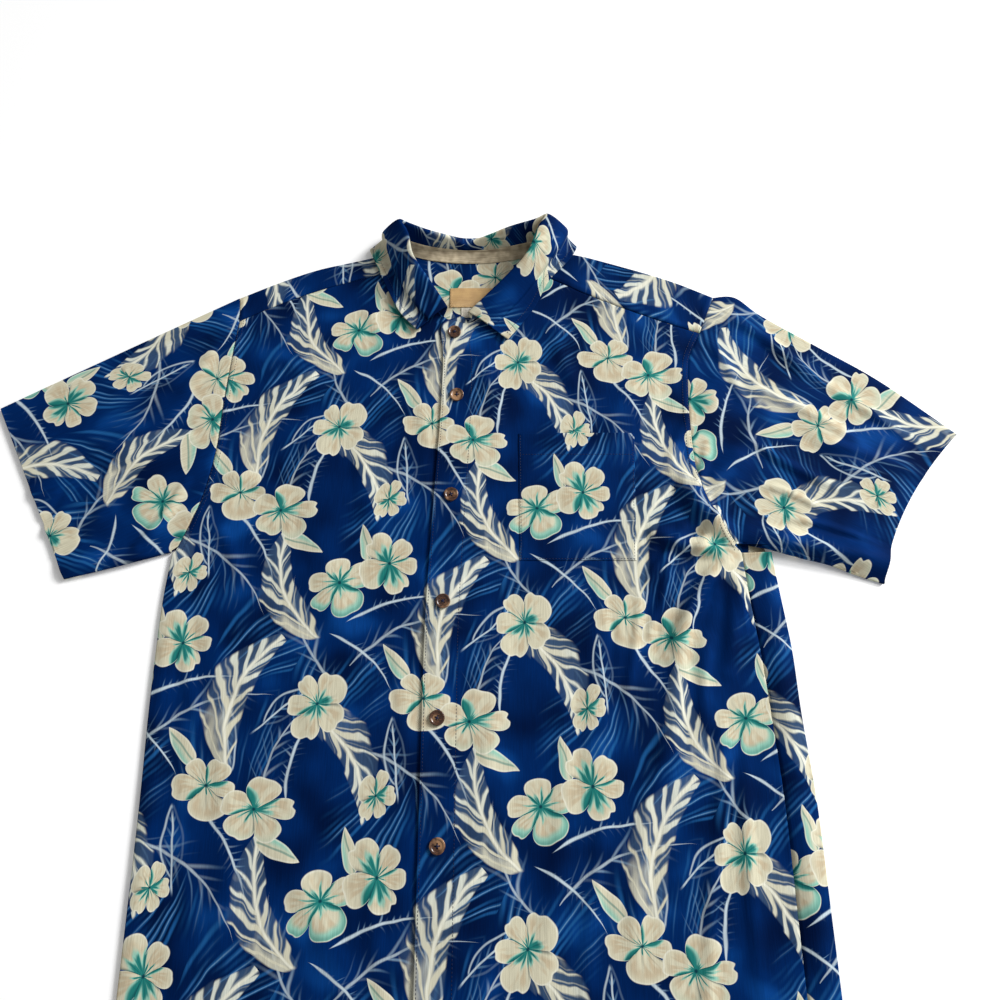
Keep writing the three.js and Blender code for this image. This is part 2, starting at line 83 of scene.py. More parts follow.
# Upper panels from the armpit to the yoke seam: left x, y, right x, y, bow
UNDER_TOP = np.array([
    [-332, 179, -34, 179, 0],
    [-313, 232, -34, 262, 0],
    [-303, 290, -33, 345, 0],
    [-301, 345, -37, 446, 0],
    [-298, 395, -61, 451, 0],
    [-296, 424, -84.5, 485, 3],
    [-294, 447, -104, 513, 10],
], float)
OVER_TOP = np.array([
    [-72, 179, 247, 179, 0],
    [-69, 245, 226, 215, 0],
    [-65, 320, 209, 262, 0],
    [-63, 395, 205, 320, 0],
    [-64, 446, 206, 365, 0],
    [-31, 445, 209, 397, 0],
    [8.5, 485.5, 216, 416, -2],
    [34, 514, 224, 432, -4],
], float)
BACK_TOP = np.array([
    [-318, 179, 273, 179, 0],
    [-300, 235, 254, 235, 0],
    [-292, 300, 243, 300, 0],
    [-290, 360, 239, 360, 0],
    [-291, 431, 238, 425, 4],
], float)

# Yoke from the right armhole to the left one: back seam x, shoulder fold x, y, front seam x
YOKE = np.array([
    [-291, -297, 477, -294],
    [-243, -250, 499, -246],
    [-196, -206, 516, -199],
    [-150, -155, 528, -151],
    [-117, -113, 538, -104],
    [-80, -80, 542, -80],
    [-30, -30, 541.5, -30],
    [14, 14, 542, 14],
    [54, 49, 540, 34],
    [96, 100, 531, 95],
    [144, 150, 516, 146],
    [192, 200, 498, 190],
    [238, 243, 478, 224],
], float)
NECK_LEFT = 4 / 12
NECK_RIGHT = 8 / 12

# Sleeve folds from the armhole to the opening
RIGHT_UPPER_FOLD = np.array([[-297.6, 477], [-420, 409], [-543, 340]], float)
RIGHT_LOWER_FOLD = np.array([[-336, 180], [-389, 165], [-441, 152]], float)
LEFT_UPPER_FOLD = np.array([[243.6, 478], [268, 478], [296, 454], [356, 414], [417, 373], [491, 310]], float)
LEFT_LOWER_FOLD = np.array([[279, 181], [307, 173], [335, 166], [361, 156], [388, 147]], float)
LEFT_OPENING_BOW = 16

# Collar sections: neck x, y, crest x, y, z, bend x, y, z, edge x, y, z
COLLAR = np.array([
    [-64, 452, -60, 461, 11, -78, 447, 11, -93, 434, 8],
    [-86, 484, -79, 488, 21, -99, 474, 15, -114, 458, 7.5],
    [-106, 512, -98, 515, 32, -117, 505, 20, -133, 497, 8],
    [-114, 528, -104, 541, 37, -127, 534, 24, -144, 522, 8.5],
    [-117, 538, -112, 555, 39, -134, 555, 19, -151, 541, 4],
    [-106, 541, -100, 553, 34, -122, 565, 9, -138, 537, 0.6],
    [-84, 540, -80, 550, 26, -94, 564, 5, -106, 501, 0.6],
    [-58, 539, -53, 547, 17, -58, 558, 4, -68, 491, 0.6],
    [-34, 539, -38, 543, 12, -34, 556, 4, -34, 489, 0.6],
    [-8, 539, -14, 548, 20, -8, 558, 4, 0, 491, 0.6],
    [18, 540, 10, 553, 29, 26, 564, 5, 38, 500, 0.6],
    [42, 541, 38, 556, 38, 60, 567, 10, 76, 538, 0.6],
    [53, 541, 51, 560, 42, 76, 559, 20, 89, 545, 4],
    [49, 530, 43, 546, 39, 66, 536, 24, 80, 525, 8.5],
    [37, 512, 30, 516, 33, 46, 506, 22, 56, 497, 8],
    [11, 484, 3, 489, 22, 22, 474, 15, 38, 461, 7.5],
    [-31, 446, -35, 454, 11, -12, 438, 11, 9, 422, 8],
], float)
BEHIND_NECK = (0.3, 0.7)

# Main folds of the upper layer: x0, y0, x1, y1, bow, half-width, height (a trough's is negative)
FOLDS = np.array([
    [258, 196, 398, 168, 0, 21, 12],
    [270, 174, 284, -258, 0, 20, 4.5],
    [236, 196, 190, 262, 4, 18, 9.5],
    [232, 182, 158, 200, 5, 14, 7],
    [228, 168, 176, 88, -6, 14, 9],
    [216, 252, 262, 292, -4, 22, 5],
    [236, 150, 222, 60, 3, 13, 5],
    [176, 96, 150, -40, 5, 16, 4.5],
    [96, 110, 84, -70, 4, 22, 2.5],
    [150, 380, 120, 300, 0, 26, 2.5],
    [-348, 178, -450, 160, 0, 15, 3.5],
    [-330, 178, -322, -255, 0, 16, 2.2],
    [-318, 200, -270, 262, 0, 22, 2.5],
    [-210, 330, -170, 120, 8, 34, 1.8],
    [330, 330, 405, 262, -6, 24, 3],
    [226, 330, 262, 392, 5, 22, 3],
    [-360, 330, -440, 250, 6, 30, 2],
], float)

# Small creases of the upper layer, in the same columns
CREASES = np.array([
    # The wearer's right front, which lies quite flat
    [-300, 150, -240, -200, 10, 19, 1.6],
    [-262, 70, -150, -66, -9, 22, 1.5],
    [-206, -92, -118, -250, 7, 19, 2.0],
    [-304, -110, -254, -255, 4, 14, -1.2],
    [-150, 300, -118, 176, -6, 16, 1.5],
    [-112, 124, -92, -24, 5, 12, 1.2],
    [-252, 404, -178, 334, 8, 15, 1.8],
    [-156, 474, -128, 398, 4, 13, 1.6],
    [-290, 262, -226, 238, 5, 11, 2.1],
    [-286, 330, -224, 362, -5, 13, 1.6],
    [-300, 215, -262, 150, 4, 10, 2.0],
    [-318, 130, -290, 20, -5, 11, 1.5],
    [-190, 60, -176, -60, 4, 14, 1.1],
    [-120, -100, -96, -230, -4, 11, 1.2],
    [-92, 380, -78, 250, 3, 10, 1.1],
    # The placket, which buckles a little between the buttons
    [-76, 398, -36, 390, 1, 9, 1.0],
    [-74, 300, -38, 292, -1, 10, 1.2],
    [-78, 182, -40, 190, 1, 10, 1.0],
    [-80, 72, -42, 64, 1, 11, 1.2],
    [-80, -44, -42, -36, -1, 10, 1.0],
    [-78, -150, -40, -160, 1, 12, 1.4],
    # The armpit on the wearer's left, from which the creases fan out
    [190, 266, 150, 205, 4, 9, -2.5],
    [232, 238, 196, 174, 3, 8, 4.5],
    [190, 206, 146, 152, 3, 7, 3.6],
    [152, 214, 144, 146, 2, 6, -2.0],
    [214, 142, 194, 96, 2, 7, -2.8],
    [172, 168, 148, 98, 3, 8, 3.9],
    [140, 134, 122, 36, 2, 7, 3.1],
    [112, 132, 106, 52, 2, 6, -1.8],
    [158, 130, 148, 56, 2, 6, -2.0],
    [194, 126, 184, 56, 2, 6, -2.4],
    [238, 154, 242, 96, 2, 6, 3.2],
    [206, 92, 196, 10, -3, 9, 3.1],
    [222, 300, 196, 236, 4, 8, 3.5],
    [206, 330, 178, 268, -3, 10, 2.5],
    [182, 392, 174, 322, 3, 11, -1.8],
    # The wearer's left front, below and beside the pocket
    [212, 6, 186, -150, 5, 12, 2.8],
    [150, -16, 118, -186, -6, 14, 2.4],
    [62, 30, 36, -200, 7, 16, 2.0],
    [4, 120, -22, -66, 5, 14, 1.5],
    [100, -60, 74, -236, -5, 12, 2.1],
    [190, -120, 170, -255, 4, 11, 2.8],
    [10, -90, -26, -240, 4, 13, 1.6],
    [232, -20, 226, -210, -4, 10, 2.9],
    [-20, 400, 0, 300, 3, 14, 1.5],
    [60, 440, 96, 340, -5, 14, 1.8],
    [14, 240, 2, 150, 3, 11, 1.5],
    # The wearer's right sleeve
    [-346, 436, -500, 334, 7, 14, 2.2],
    [-336, 306, -424, 206, -6, 12, 2.8],
    [-400, 310, -502, 236, 4, 11, 1.9],
    [-330, 256, -372, 186, 4, 9, 3.4],
    [-452, 262, -486, 186, 2, 8, -1.2],
    [-318, 420, -352, 350, 4, 11, 2.1],
    [-420, 220, -500, 196, 3, 9, 1.6],
    # The wearer's left sleeve
    [262, 452, 334, 380, 5, 11, 3.4],
    [300, 424, 424, 322, -7, 12, 2.6],
    [280, 362, 384, 300, 5, 10, 3.1],
    [264, 306, 352, 250, -4, 9, 3.8],
    [342, 300, 444, 262, 4, 10, 2.5],
    [276, 252, 334, 226, 3, 6, 3.1],
    [300, 216, 382, 190, 3, 6, 2.8],
    [236, 420, 262, 352, 3, 10, 2.6],
    [380, 350, 452, 300, -3, 8, 1.9],
], float)

# Low ridges of the back, which lifts the front with it
BACK_CREASES = np.array([
    [-240, 300, -60, -180, 12, 20, 0.8],
    [60, 330, 170, -60, -10, 22, 0.9],
    [-40, 120, 20, -240, 8, 18, 0.7],
    [200, 60, 236, -220, 4, 14, 0.9],
    [-300, 60, -270, -220, -5, 15, 0.7],
    [-150, 400, 110, 372, 6, 16, 0.6],
    [-470, 320, -360, 260, 4, 14, 0.8],
    [300, 380, 420, 300, 4, 14, 0.8],
], float)

# Outline of the neck, over which everything rests on the collar's turned-under leaf
NECK_X, NECK_Y, NECK_HALF_WIDTH, NECK_HALF_DEPTH = -30, 520, 116, 46
NECK_SPREAD, NECK_LIFT = 1.35, 1.7

POCKET_LEFT, POCKET_RIGHT, POCKET_BOTTOM, POCKET_TOP, POCKET_LEAN = 20, 139, 171, 310, 5
LABEL_LEFT, LABEL_RIGHT, LABEL_BOTTOM, LABEL_TOP = -57, -4, 466, 490
TAB_LEFT, TAB_RIGHT, TAB_BOTTOM, TAB_TOP = -44, -33, 453, 465
BUTTON_PLACES = [(-51, 432), (-47, 355), (-51, 241), (-57, 129), (-60, 17), (-57, -95)]
FACING_WIDTH = 35
SLEEVE_HEM = 30
BODY_HEM = 21


def lay_origin():
    """Where the lay frame's origin is in the part's frame, in metres"""
    low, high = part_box("button_3")
    x, y = BUTTON_PLACES[2]
    return np.array([(low.x + high.x) / 2 - x / 1000, (low.y + high.y) / 2 - y / 1000, 0.0])


ORIGIN = lay_origin()


def smooth(t):
    s = np.clip(t, 0, 1)
    return s * s * (3 - 2 * s)


def curve(rows, t):
    """Rows of a table at the places t from 0 to 1, by a Catmull-Rom curve"""
    span = len(rows) - 1
    at = np.clip(np.asarray(t, float), 0, 1) * span
    i = np.minimum(at.astype(int), span - 1)
    f = (at - i)[:, None]
    a, b, c, d = (rows[np.clip(i + k, 0, span)] for k in (-1, 0, 1, 2))
    return 0.5 * (
        2 * b + (c - a) * f + (2 * a - 5 * b + 4 * c - d) * f**2 + (3 * b - a - 3 * c + d) * f**3
    )


def creased(rows, x, y):
    """Sum of the rows' cosine bells at places in plan"""
    total = np.zeros(np.broadcast(x, y).shape)
    for x0, y0, x1, y1, bow, half, height in rows:
        length = math.hypot(x1 - x0, y1 - y0)
        ux, uy = (x1 - x0) / length, (y1 - y0) / length
        along = ((x - x0) * ux + (y - y0) * uy) / length
        s = np.clip(along, 0, 1)
        side = (y - y0) * ux - (x - x0) * uy - bow * 4 * s * (1 - s)
        far = np.hypot(side, (along - s) * length) / half
        fade = 0.45 + 0.55 * smooth(np.minimum(s, 1 - s) * 4)
        bell = height * fade * (0.5 + 0.5 * np.cos(math.pi * np.minimum(far, 1)))
        total += np.where(far < 1, bell, 0)
    return total


def neck_lift(x, y):
    far = np.hypot((x - NECK_X) / NECK_HALF_WIDTH, (y - NECK_Y) / NECK_HALF_DEPTH)
    return NECK_LIFT * smooth((NECK_SPREAD - far) / (NECK_SPREAD - 1))


def back_height(x, y):
    return BACK_LAYER + neck_lift(x, y) + creased(BACK_CREASES, x, y)


def front_height(x, y):
    main = np.maximum(LOWEST_FRONT, FRONT_LAYER + creased(FOLDS, x, y))
    fine = creased(CREASES, x, y)
    return np.maximum(main + fine, LOWEST_CREASED) + neck_lift(x, y) + creased(BACK_CREASES, x, y)


def over_height(x, y):
    return front_height(x, y) + LAP_RISE * smooth((12 - x) / 40)


def around_fold(x, y, out_x, out_y, turn):
    """Points round a fold whose silhouette is at (x, y), from the upper layer (turn 0) down"""
    low = back_height(x - out_x * 2, y - out_y * 2)
    inset = (front_height(x, y) - low) / 2
    high = front_height(x - out_x * inset, y - out_y * inset)
    radius = (high - low) / 2
    reach = radius * np.sin(turn * math.pi) - radius
    height = low + radius + radius * np.cos(turn * math.pi)
    return np.stack(np.broadcast_arrays(x + out_x * reach, y + out_y * reach, height), -1)


def places(length, cell, first=(), last=()):
    """Shares of a length, a cell apart, with closer ones beside its first and last ends"""
    low = max(first, default=0)
    high = length - max(last, default=0)
    between = np.linspace(low, high, max(2, round((high - low) / cell) + 1))
    ends = [[0, length], first, length - np.array(last, float), between]
    return np.unique(np.round(np.concatenate(ends), 4)) / length


def across(rows, u, height):
    """Points of the rows (left x, y, right x, y, bow) at the shares u of their width"""
    left_x, left_y, right_x, right_y, bow = (rows[:, k, None] for k in range(5))
    x = left_x + (right_x - left_x) * u
    y = left_y + (right_y - left_y) * u + bow * 4 * u * (1 - u)
    return np.stack([x, y, height(x, y)], -1)


def level_rows(y, left, right):
    return np.stack([left, y, right, y, np.zeros_like(y)], 1)


def run_length(points, axis):
    """Distance along the grid's rows or columns, from its first point"""
    step = np.linalg.norm(np.diff(points, axis=axis), axis=-1)
    start = np.zeros_like(np.take(step, [0], axis))
    return np.concatenate([start, np.cumsum(step, axis)], axis)


def wander(s, seed):
    """An uneven wave along a seam, from -1 to 1"""
    a, b, c = (np.sin(s / w + seed * k) for w, k in ((1.3, 2.1), (2.1, 3.7), (3.4, 1.3)))
    return (a + 1.3 * b + 1.2 * c) / 3.5


def felled(distance, along, seed):
    """Relief beside a felled seam: a raised band between two sunk rows of stitches"""
    band = smooth(distance / 1.2) * (1 - smooth((distance - 6.8) / 1.6))
    rows = np.exp(-(((distance - 1.8) / 0.7) ** 2)) + np.exp(-(((distance - 6.6) / 0.7) ** 2))
    pucker = 0.3 * wander(along, seed) * np.exp(-np.abs(distance - 4) / 7)
    return 0.7 * band - 0.45 * rows - 0.4 * np.exp(-((distance / 0.8) ** 2)) + pucker


def seamed(distance, along, seed):
    """Relief beside a plain seam: a groove, and the pull of its stitches"""
    pucker = 0.22 * wander(along, seed) * np.exp(-distance / 8)
    return -0.6 * np.exp(-((distance / 1.2) ** 2)) + pucker


def turned(distance, along, seed, width):
    """Relief of a hem or facing of the given width, which is stitched near its inner edge"""
    band = 1 - smooth((distance - width + 0.5) / 2)
    row = np.exp(-(((distance - width + 1.8) / 0.9) ** 2))
    pucker = 0.3 * wander(along, seed) * np.exp(-np.abs(distance - width + 1.8) / 6)
    return 0.4 * band - 0.42 * row + pucker


def grid_cells(rows, columns, cloth=None, ring=False):
    """Corner numbers of a grid's cells, and the same for a print that doesn't close"""
    j, i = np.mgrid[0:rows - 1, 0:columns - (0 if ring else 1)]
    keep = np.ones(j.shape, bool) if cloth is None else cloth
    j, i = j[keep], i[keep]
    following = (i + 1) % columns
    corners = np.stack([j * columns + i, j * columns + following,
                        (j + 1) * columns + following, (j + 1) * columns + i], 1)
    width = columns + (1 if ring else 0)
    print_corners = np.stack([j * width + i, j * width + i + 1,
                              (j + 1) * width + i + 1, (j + 1) * width + i], 1)
    return corners, print_corners


def outward(points, corners):
    """Normals of the grid's points"""
    a, b, c, d = (points[corners[:, k]] for k in range(4))
    normal = np.cross(c - a, d - b)
    total = np.zeros_like(points)
    for k in range(4):
        np.add.at(total, corners[:, k], normal)
    return total / np.maximum(np.linalg.norm(total, axis=1, keepdims=True), 1e-9)


def new_mesh_object(name, points, faces, uv=None):
    """An object from points in the lay frame and faces that all have the same corners"""
    mesh = bpy.data.meshes.new(name)
    placed = points / 1000 + ORIGIN
    size = faces.shape[1]
    mesh.vertices.add(len(placed))
    mesh.vertices.foreach_set("co", placed.ravel())
    mesh.loops.add(faces.size)
    mesh.loops.foreach_set("vertex_index", faces.ravel())
    mesh.polygons.add(len(faces))
    mesh.polygons.foreach_set("loop_start", np.arange(0, faces.size, size))
    mesh.polygons.foreach_set("use_smooth", np.ones(len(faces), bool))
    mesh.update(calc_edges=True)
    if uv is not None:
        layer = mesh.uv_layers.new(name="cloth")
        layer.data.foreach_set("uv", (uv / 1000).ravel())
    mesh.validate()
    piece = bpy.data.objects.new(name, mesh)
    bpy.context.scene.collection.objects.link(piece)
    return piece


class Panel:
    """A piece of cloth as a grid of points on its middle, with the cloth's own coordinates"""

    def __init__(self, points, cloth_uv, cloth=None, ring=False, flip=False):
        rows, columns = points.shape[:2]
        self.points = points
        self.corners, self.print_corners = grid_cells(rows, columns, cloth, ring)
        if flip:
            self.corners = self.corners[:, ::-1]
            self.print_corners = self.print_corners[:, ::-1]
        self.uv = cloth_uv
        flat = points.reshape(-1, 3)
        self.normals = outward(flat, self.corners).reshape(points.shape)

    def skin(self, rise):
        return self.points + self.normals * rise

    def build(self, name, thickness=SHELL):
        """The panel with its thickness and a rounded edge all round"""
        used, numbered = np.unique(self.corners, return_inverse=True)
        cells = numbered.reshape(self.corners.shape)
        middle = self.points.reshape(-1, 3)[used]
        normal = self.normals.reshape(-1, 3)[used]
        count = len(used)
        start = cells.ravel()
        end = np.roll(cells, -1, 1).ravel()
        is_edge = ~np.isin(start * count + end, end * count + start)
        uv_flat = self.uv.reshape(-1, 2)
        cell_uv = uv_flat[self.print_corners]
        start_uv = cell_uv.reshape(-1, 2)[is_edge]
        end_uv = np.roll(cell_uv, -1, 1).reshape(-1, 2)[is_edge]
        start, end = start[is_edge], end[is_edge]
        away = np.zeros_like(middle)
        sideways = np.cross(middle[end] - middle[start], normal[start])
        np.add.at(away, start, sideways)
        np.add.at(away, end, sideways)
        away /= np.maximum(np.linalg.norm(away, axis=1, keepdims=True), 1e-9)
        rim, rim_of = np.unique(np.concatenate([start, end]), return_inverse=True)
        rim_start = 2 * count + rim_of[:len(start)]
        rim_end = 2 * count + rim_of[len(start):]
        points = np.concatenate([
            middle + normal * thickness / 2,
            middle - normal * thickness / 2,
            middle[rim] + away[rim] * 0.15,
        ])
        faces = np.concatenate([
            cells,
            cells[:, ::-1] + count,
            np.stack([start, rim_start, rim_end, end], 1),
            np.stack([rim_start, start + count, end + count, rim_end], 1),
        ])
        rim_uv = np.stack([start_uv, start_uv, end_uv, end_uv], 1)
        uv = np.concatenate([cell_uv, cell_uv[:, ::-1], rim_uv, rim_uv])
        return new_mesh_object(name, points, faces, uv.reshape(-1, 2))

    def beside(self, edge, distance, first=0, last=None, rise=SHELL / 2):
        """A line of surface points and normals at a distance from one edge of the grid"""
        skin, normals = self.skin(rise), self.normals
        if edge in ("first row", "last row"):
            skin, normals = skin.swapaxes(0, 1), normals.swapaxes(0, 1)
        if edge in ("last row", "last column"):
            skin, normals = skin[:, ::-1], normals[:, ::-1]
        line = []
        for points, directions in zip(skin[first:last], normals[first:last]):
            far = np.concatenate([[0], np.cumsum(np.linalg.norm(np.diff(points, axis=0), axis=1))])
            both = np.concatenate([points, directions], 1)
            line.append([np.interp(distance, far, both[:, k]) for k in range(6)])
        return np.array(line)


def flat_rows_uv(points, anchor, offset=(0, 0), mirror=False):
    """Cloth coordinates of a panel: the distance along each row from a column, and y"""
    run = run_length(points, 1)
    x = points[:, anchor:anchor + 1, 0] + run - run[:, anchor:anchor + 1]
    y = points[..., 1]
    return np.stack([(-x if mirror else x) + offset[0], y + offset[1]], -1)


# ---- The panels ----
BODY_PLACES = places(BODY_LENGTH, CELL, first=BESIDE_HEM)
body_rows = curve(BODY, BODY_PLACES)
BODY_Y = body_rows[:, 0]


def side_run(points):
    """Distance along the first column of a grid"""
    return run_length(points, 0)[:, :1]


def make_under_front():
    """Right front, whose side goes round the left fold and lies underneath"""
    y, fold, edge = body_rows[:, 0], body_rows[:, 1], body_rows[:, 2]
    turned_side = around_fold(fold[:, None], y[:, None], -1, 0, 1 - TURNS[None, :])
    crest = turned_side[:, -1, 0]
    shares = places(300, CELL, first=BESIDE_SEAM, last=(2.0, 5.0))
    tuck = turned_side[:, :1] + np.array([SIDE_TUCK, 0, 0]) * np.linspace(1, 0.25, 4)[None, :, None]
    body = across(level_rows(y, crest, edge), shares, front_height)
    hem = turned((y - y[0])[:, None], body[..., 0], 1.0, BODY_HEM)
    body[..., 2] += hem * smooth(np.arange(len(shares)) / 4)
    lower = np.concatenate([tuck, turned_side, body[:, 1:]], 1)
    rows = curve(UNDER_TOP, places(300, CELL, last=BESIDE_SEAM))[1:]
    top = across(rows, shares, front_height)
    width = np.hypot(rows[:, 2] - rows[:, 0], rows[:, 3] - rows[:, 1])[:, None]
    ramp = smooth((rows[:, 1:2] - 186) / 20)
    armhole = felled(shares * width, side_run(top), 2.0) * ramp
    top[..., 2] += armhole
    to_yoke = run_length(top, 0)
    to_yoke = to_yoke[-1:] - to_yoke
    top[..., 2] += seamed(to_yoke, top[..., 0], 3.0)
    fill = np.repeat(top[:, :1], len(TURNS) + 3, 1)
    upper = np.concatenate([fill, top], 1)
    points = np.concatenate([lower, upper])
    cloth = np.ones((len(points) - 1, points.shape[1] - 1), bool)
    cloth[len(lower) - 1:, :len(TURNS) + 3] = False
    return Panel(points, flat_rows_uv(points, points.shape[1] - 1, UNDER_PRINT), cloth)


UNDER_PRINT = (0, 0)
OVER_PRINT = (0, 0)
SIDE_COLUMNS = len(TURNS) + 3


def make_over_front():
    """Left front, from its placket edge to the side seam and armhole"""
    y, edge, seam = body_rows[:, 0], body_rows[:, 3], body_rows[:, 4]
    shares = places(320, CELL, first=(1.0, 2.2, 4.0, 30.5, 32.0, 33.2, 34.4, 36.0), last=BESIDE_SEAM)
    body = across(level_rows(y, edge, seam), shares, over_height)
    body[..., 2] += turned((y - y[0])[:, None], body[..., 0], 1.5, BODY_HEM)
    rows = curve(OVER_TOP, places(300, CELL, last=BESIDE_SEAM))[1:]
    top = across(rows, shares, over_height)
    points = np.concatenate([body, top])
    from_edge = run_length(points, 1)
    to_seam = from_edge[:, -1:] - from_edge
    side = side_run(points[:, ::-1])
    is_armhole = smooth((points[:, -1:, 1] - 178) / 16) * (np.arange(len(points)) >= len(body))[:, None]
    points[..., 2] += is_armhole * felled(to_seam, side, 4.0) + (1 - is_armhole) * seamed(to_seam, side, 5.0)
    below_neck = 1 - smooth((points[:, :1, 1] - 436) / 8)
    points[..., 2] += below_neck * turned(from_edge, points[..., 1], 6.0, FACING_WIDTH)
    to_yoke = run_length(points, 0)
    to_yoke = to_yoke[-1:] - to_yoke
    points[..., 2] += seamed(to_yoke, points[..., 0], 7.0)
    return Panel(points, flat_rows_uv(points, 0, OVER_PRINT)), len(body)


def make_back(under_front, over_front):
    """Back, which goes round the right fold and comes over to the side seam"""
    y, fold = body_rows[:, 0], body_rows[:, 5]
    count = len(y)
    turned_side = around_fold(fold[:, None], y[:, None], 1, 0, 1 - TURNS[None, :])
    left = under_front.points[:count, 0, 0] + SEAM_GAP
    seam = over_front.points[:count, -1, 0] + SEAM_GAP
    shares = places(560, WIDE_CELL)
    lying = across(level_rows(y, left, turned_side[:, 0, 0]), shares, back_height)
    roll_shares = np.linspace(0, 1, 10)[None, :]
    roll_x = turned_side[:, -1:, 0] + (seam[:, None] - turned_side[:, -1:, 0]) * roll_shares
    roll_y = np.broadcast_to(y[:, None], roll_x.shape)
    roll = np.stack([roll_x, roll_y, front_height(roll_x, roll_y)], -1)
    to_seam = roll_x - seam[:, None]
    roll[..., 2] += seamed(to_seam, roll_y, 8.0)
    lower = np.concatenate([lying, turned_side[:, 1:], roll[:, 1:]], 1)
    rows = curve(BACK_TOP, places(260, CELL))[1:]
    top = across(rows, shares, back_height)
    fill = np.repeat(top[:, -1:], lower.shape[1] - len(shares), 1)
    points = np.concatenate([lower, np.concatenate([top, fill], 1)])
    cloth = np.ones((len(points) - 1, points.shape[1] - 1), bool)
    cloth[count - 1:, len(shares) - 1:] = False
    panel = Panel(points, flat_rows_uv(points, 0, (370, 60), mirror=True), cloth, flip=True)
    return panel, count, len(shares)


def make_yoke(back_edge, under_edge, over_edge):
    """Yoke, from its seam with the back over the shoulders to its seams with the fronts"""
    thirds = [np.linspace(a, b, 46) for a, b in ((0, NECK_LEFT), (NECK_LEFT, NECK_RIGHT), (NECK_RIGHT, 1))]
    t = np.unique(np.round(np.concatenate([places(540, 99, first=BESIDE_SEAM, last=BESIDE_SEAM), *thirds]), 7))
    back_x, fold_x, fold_y, seam_x = curve(YOKE, t).T
    ahead, behind = curve(YOKE, t + 0.01), curve(YOKE, t - 0.01)
    along = (ahead - behind)[:, 1:3]
    along /= np.linalg.norm(along, axis=1, keepdims=True)
    round_fold = around_fold(fold_x[:, None], fold_y[:, None], -along[:, 1:], along[:, :1], 1 - TURNS[None, :])
    back_y = np.interp(back_x, back_edge[:, 0], back_edge[:, 1]) + SEAM_GAP
    s = places(70, CELL, first=(1.8, 3.6))[None, :]
    under_x = back_x[:, None] + (round_fold[:, :1, 0] - back_x[:, None]) * s
    under_y = back_y[:, None] + (round_fold[:, :1, 1] - back_y[:, None]) * s
    under = np.stack([under_x, under_y, back_height(under_x, under_y)], -1)
    is_over = (fold_x > NECK_X)[:, None]
    on_under = np.interp(seam_x, under_edge[:, 0], under_edge[:, 1])
    on_over = np.interp(seam_x, over_edge[:, 0], over_edge[:, 1])
    front_y = np.where(is_over[:, 0], on_over, on_under) + SEAM_GAP + 0.1
    s = places(34, 3.0, last=BESIDE_SEAM)[None, :]
    crest_x, crest_y = round_fold[:, -1:, 0], round_fold[:, -1:, 1]
    over_x = crest_x + (seam_x[:, None] - crest_x) * s
    over_y = crest_y + (front_y[:, None] - crest_y) * s
    over_z = np.where(is_over, over_height(over_x, over_y), front_height(over_x, over_y))
    over = np.stack([over_x, over_y, over_z], -1)
    to_seam = run_length(over, 1)
    to_seam = to_seam[:, -1:] - to_seam
    over[..., 2] += felled(to_seam, over_x, 9.0)
    from_end = np.abs(run_length(over, 0))
    ends = np.minimum(from_end, from_end[-1:] - from_end)
    over[..., 2] += felled(ends, over_y, 10.0) * smooth(to_seam / 3)
    points = np.concatenate([under, round_fold[:, 1:], over[:, 1:]], 1)
    columns = points.shape[1]
    is_under = np.arange(columns - 1) < under.shape[1] - 1
    is_strip = (t[:-1] < NECK_LEFT - 1e-6) | (t[:-1] >= NECK_RIGHT - 1e-6)
    cloth = is_under[None, :] | is_strip[:, None]
    run = run_length(points, 1)
    uv = np.stack([-points[..., 0] + 120, run + 40], -1)
    return Panel(points, uv, cloth, flip=True), under.shape[1], over.shape[1], t


def armhole_edge(edge, away):
    """An armhole edge in plan, cleared by the seam gap, with each point's share of its length"""
    cleared = edge[:, :2] + np.array([away * (SEAM_GAP + 0.2), 0])
    run = np.concatenate([[0], np.cumsum(np.linalg.norm(np.diff(cleared, axis=0), axis=1))])
    return cleared, run / run[-1]


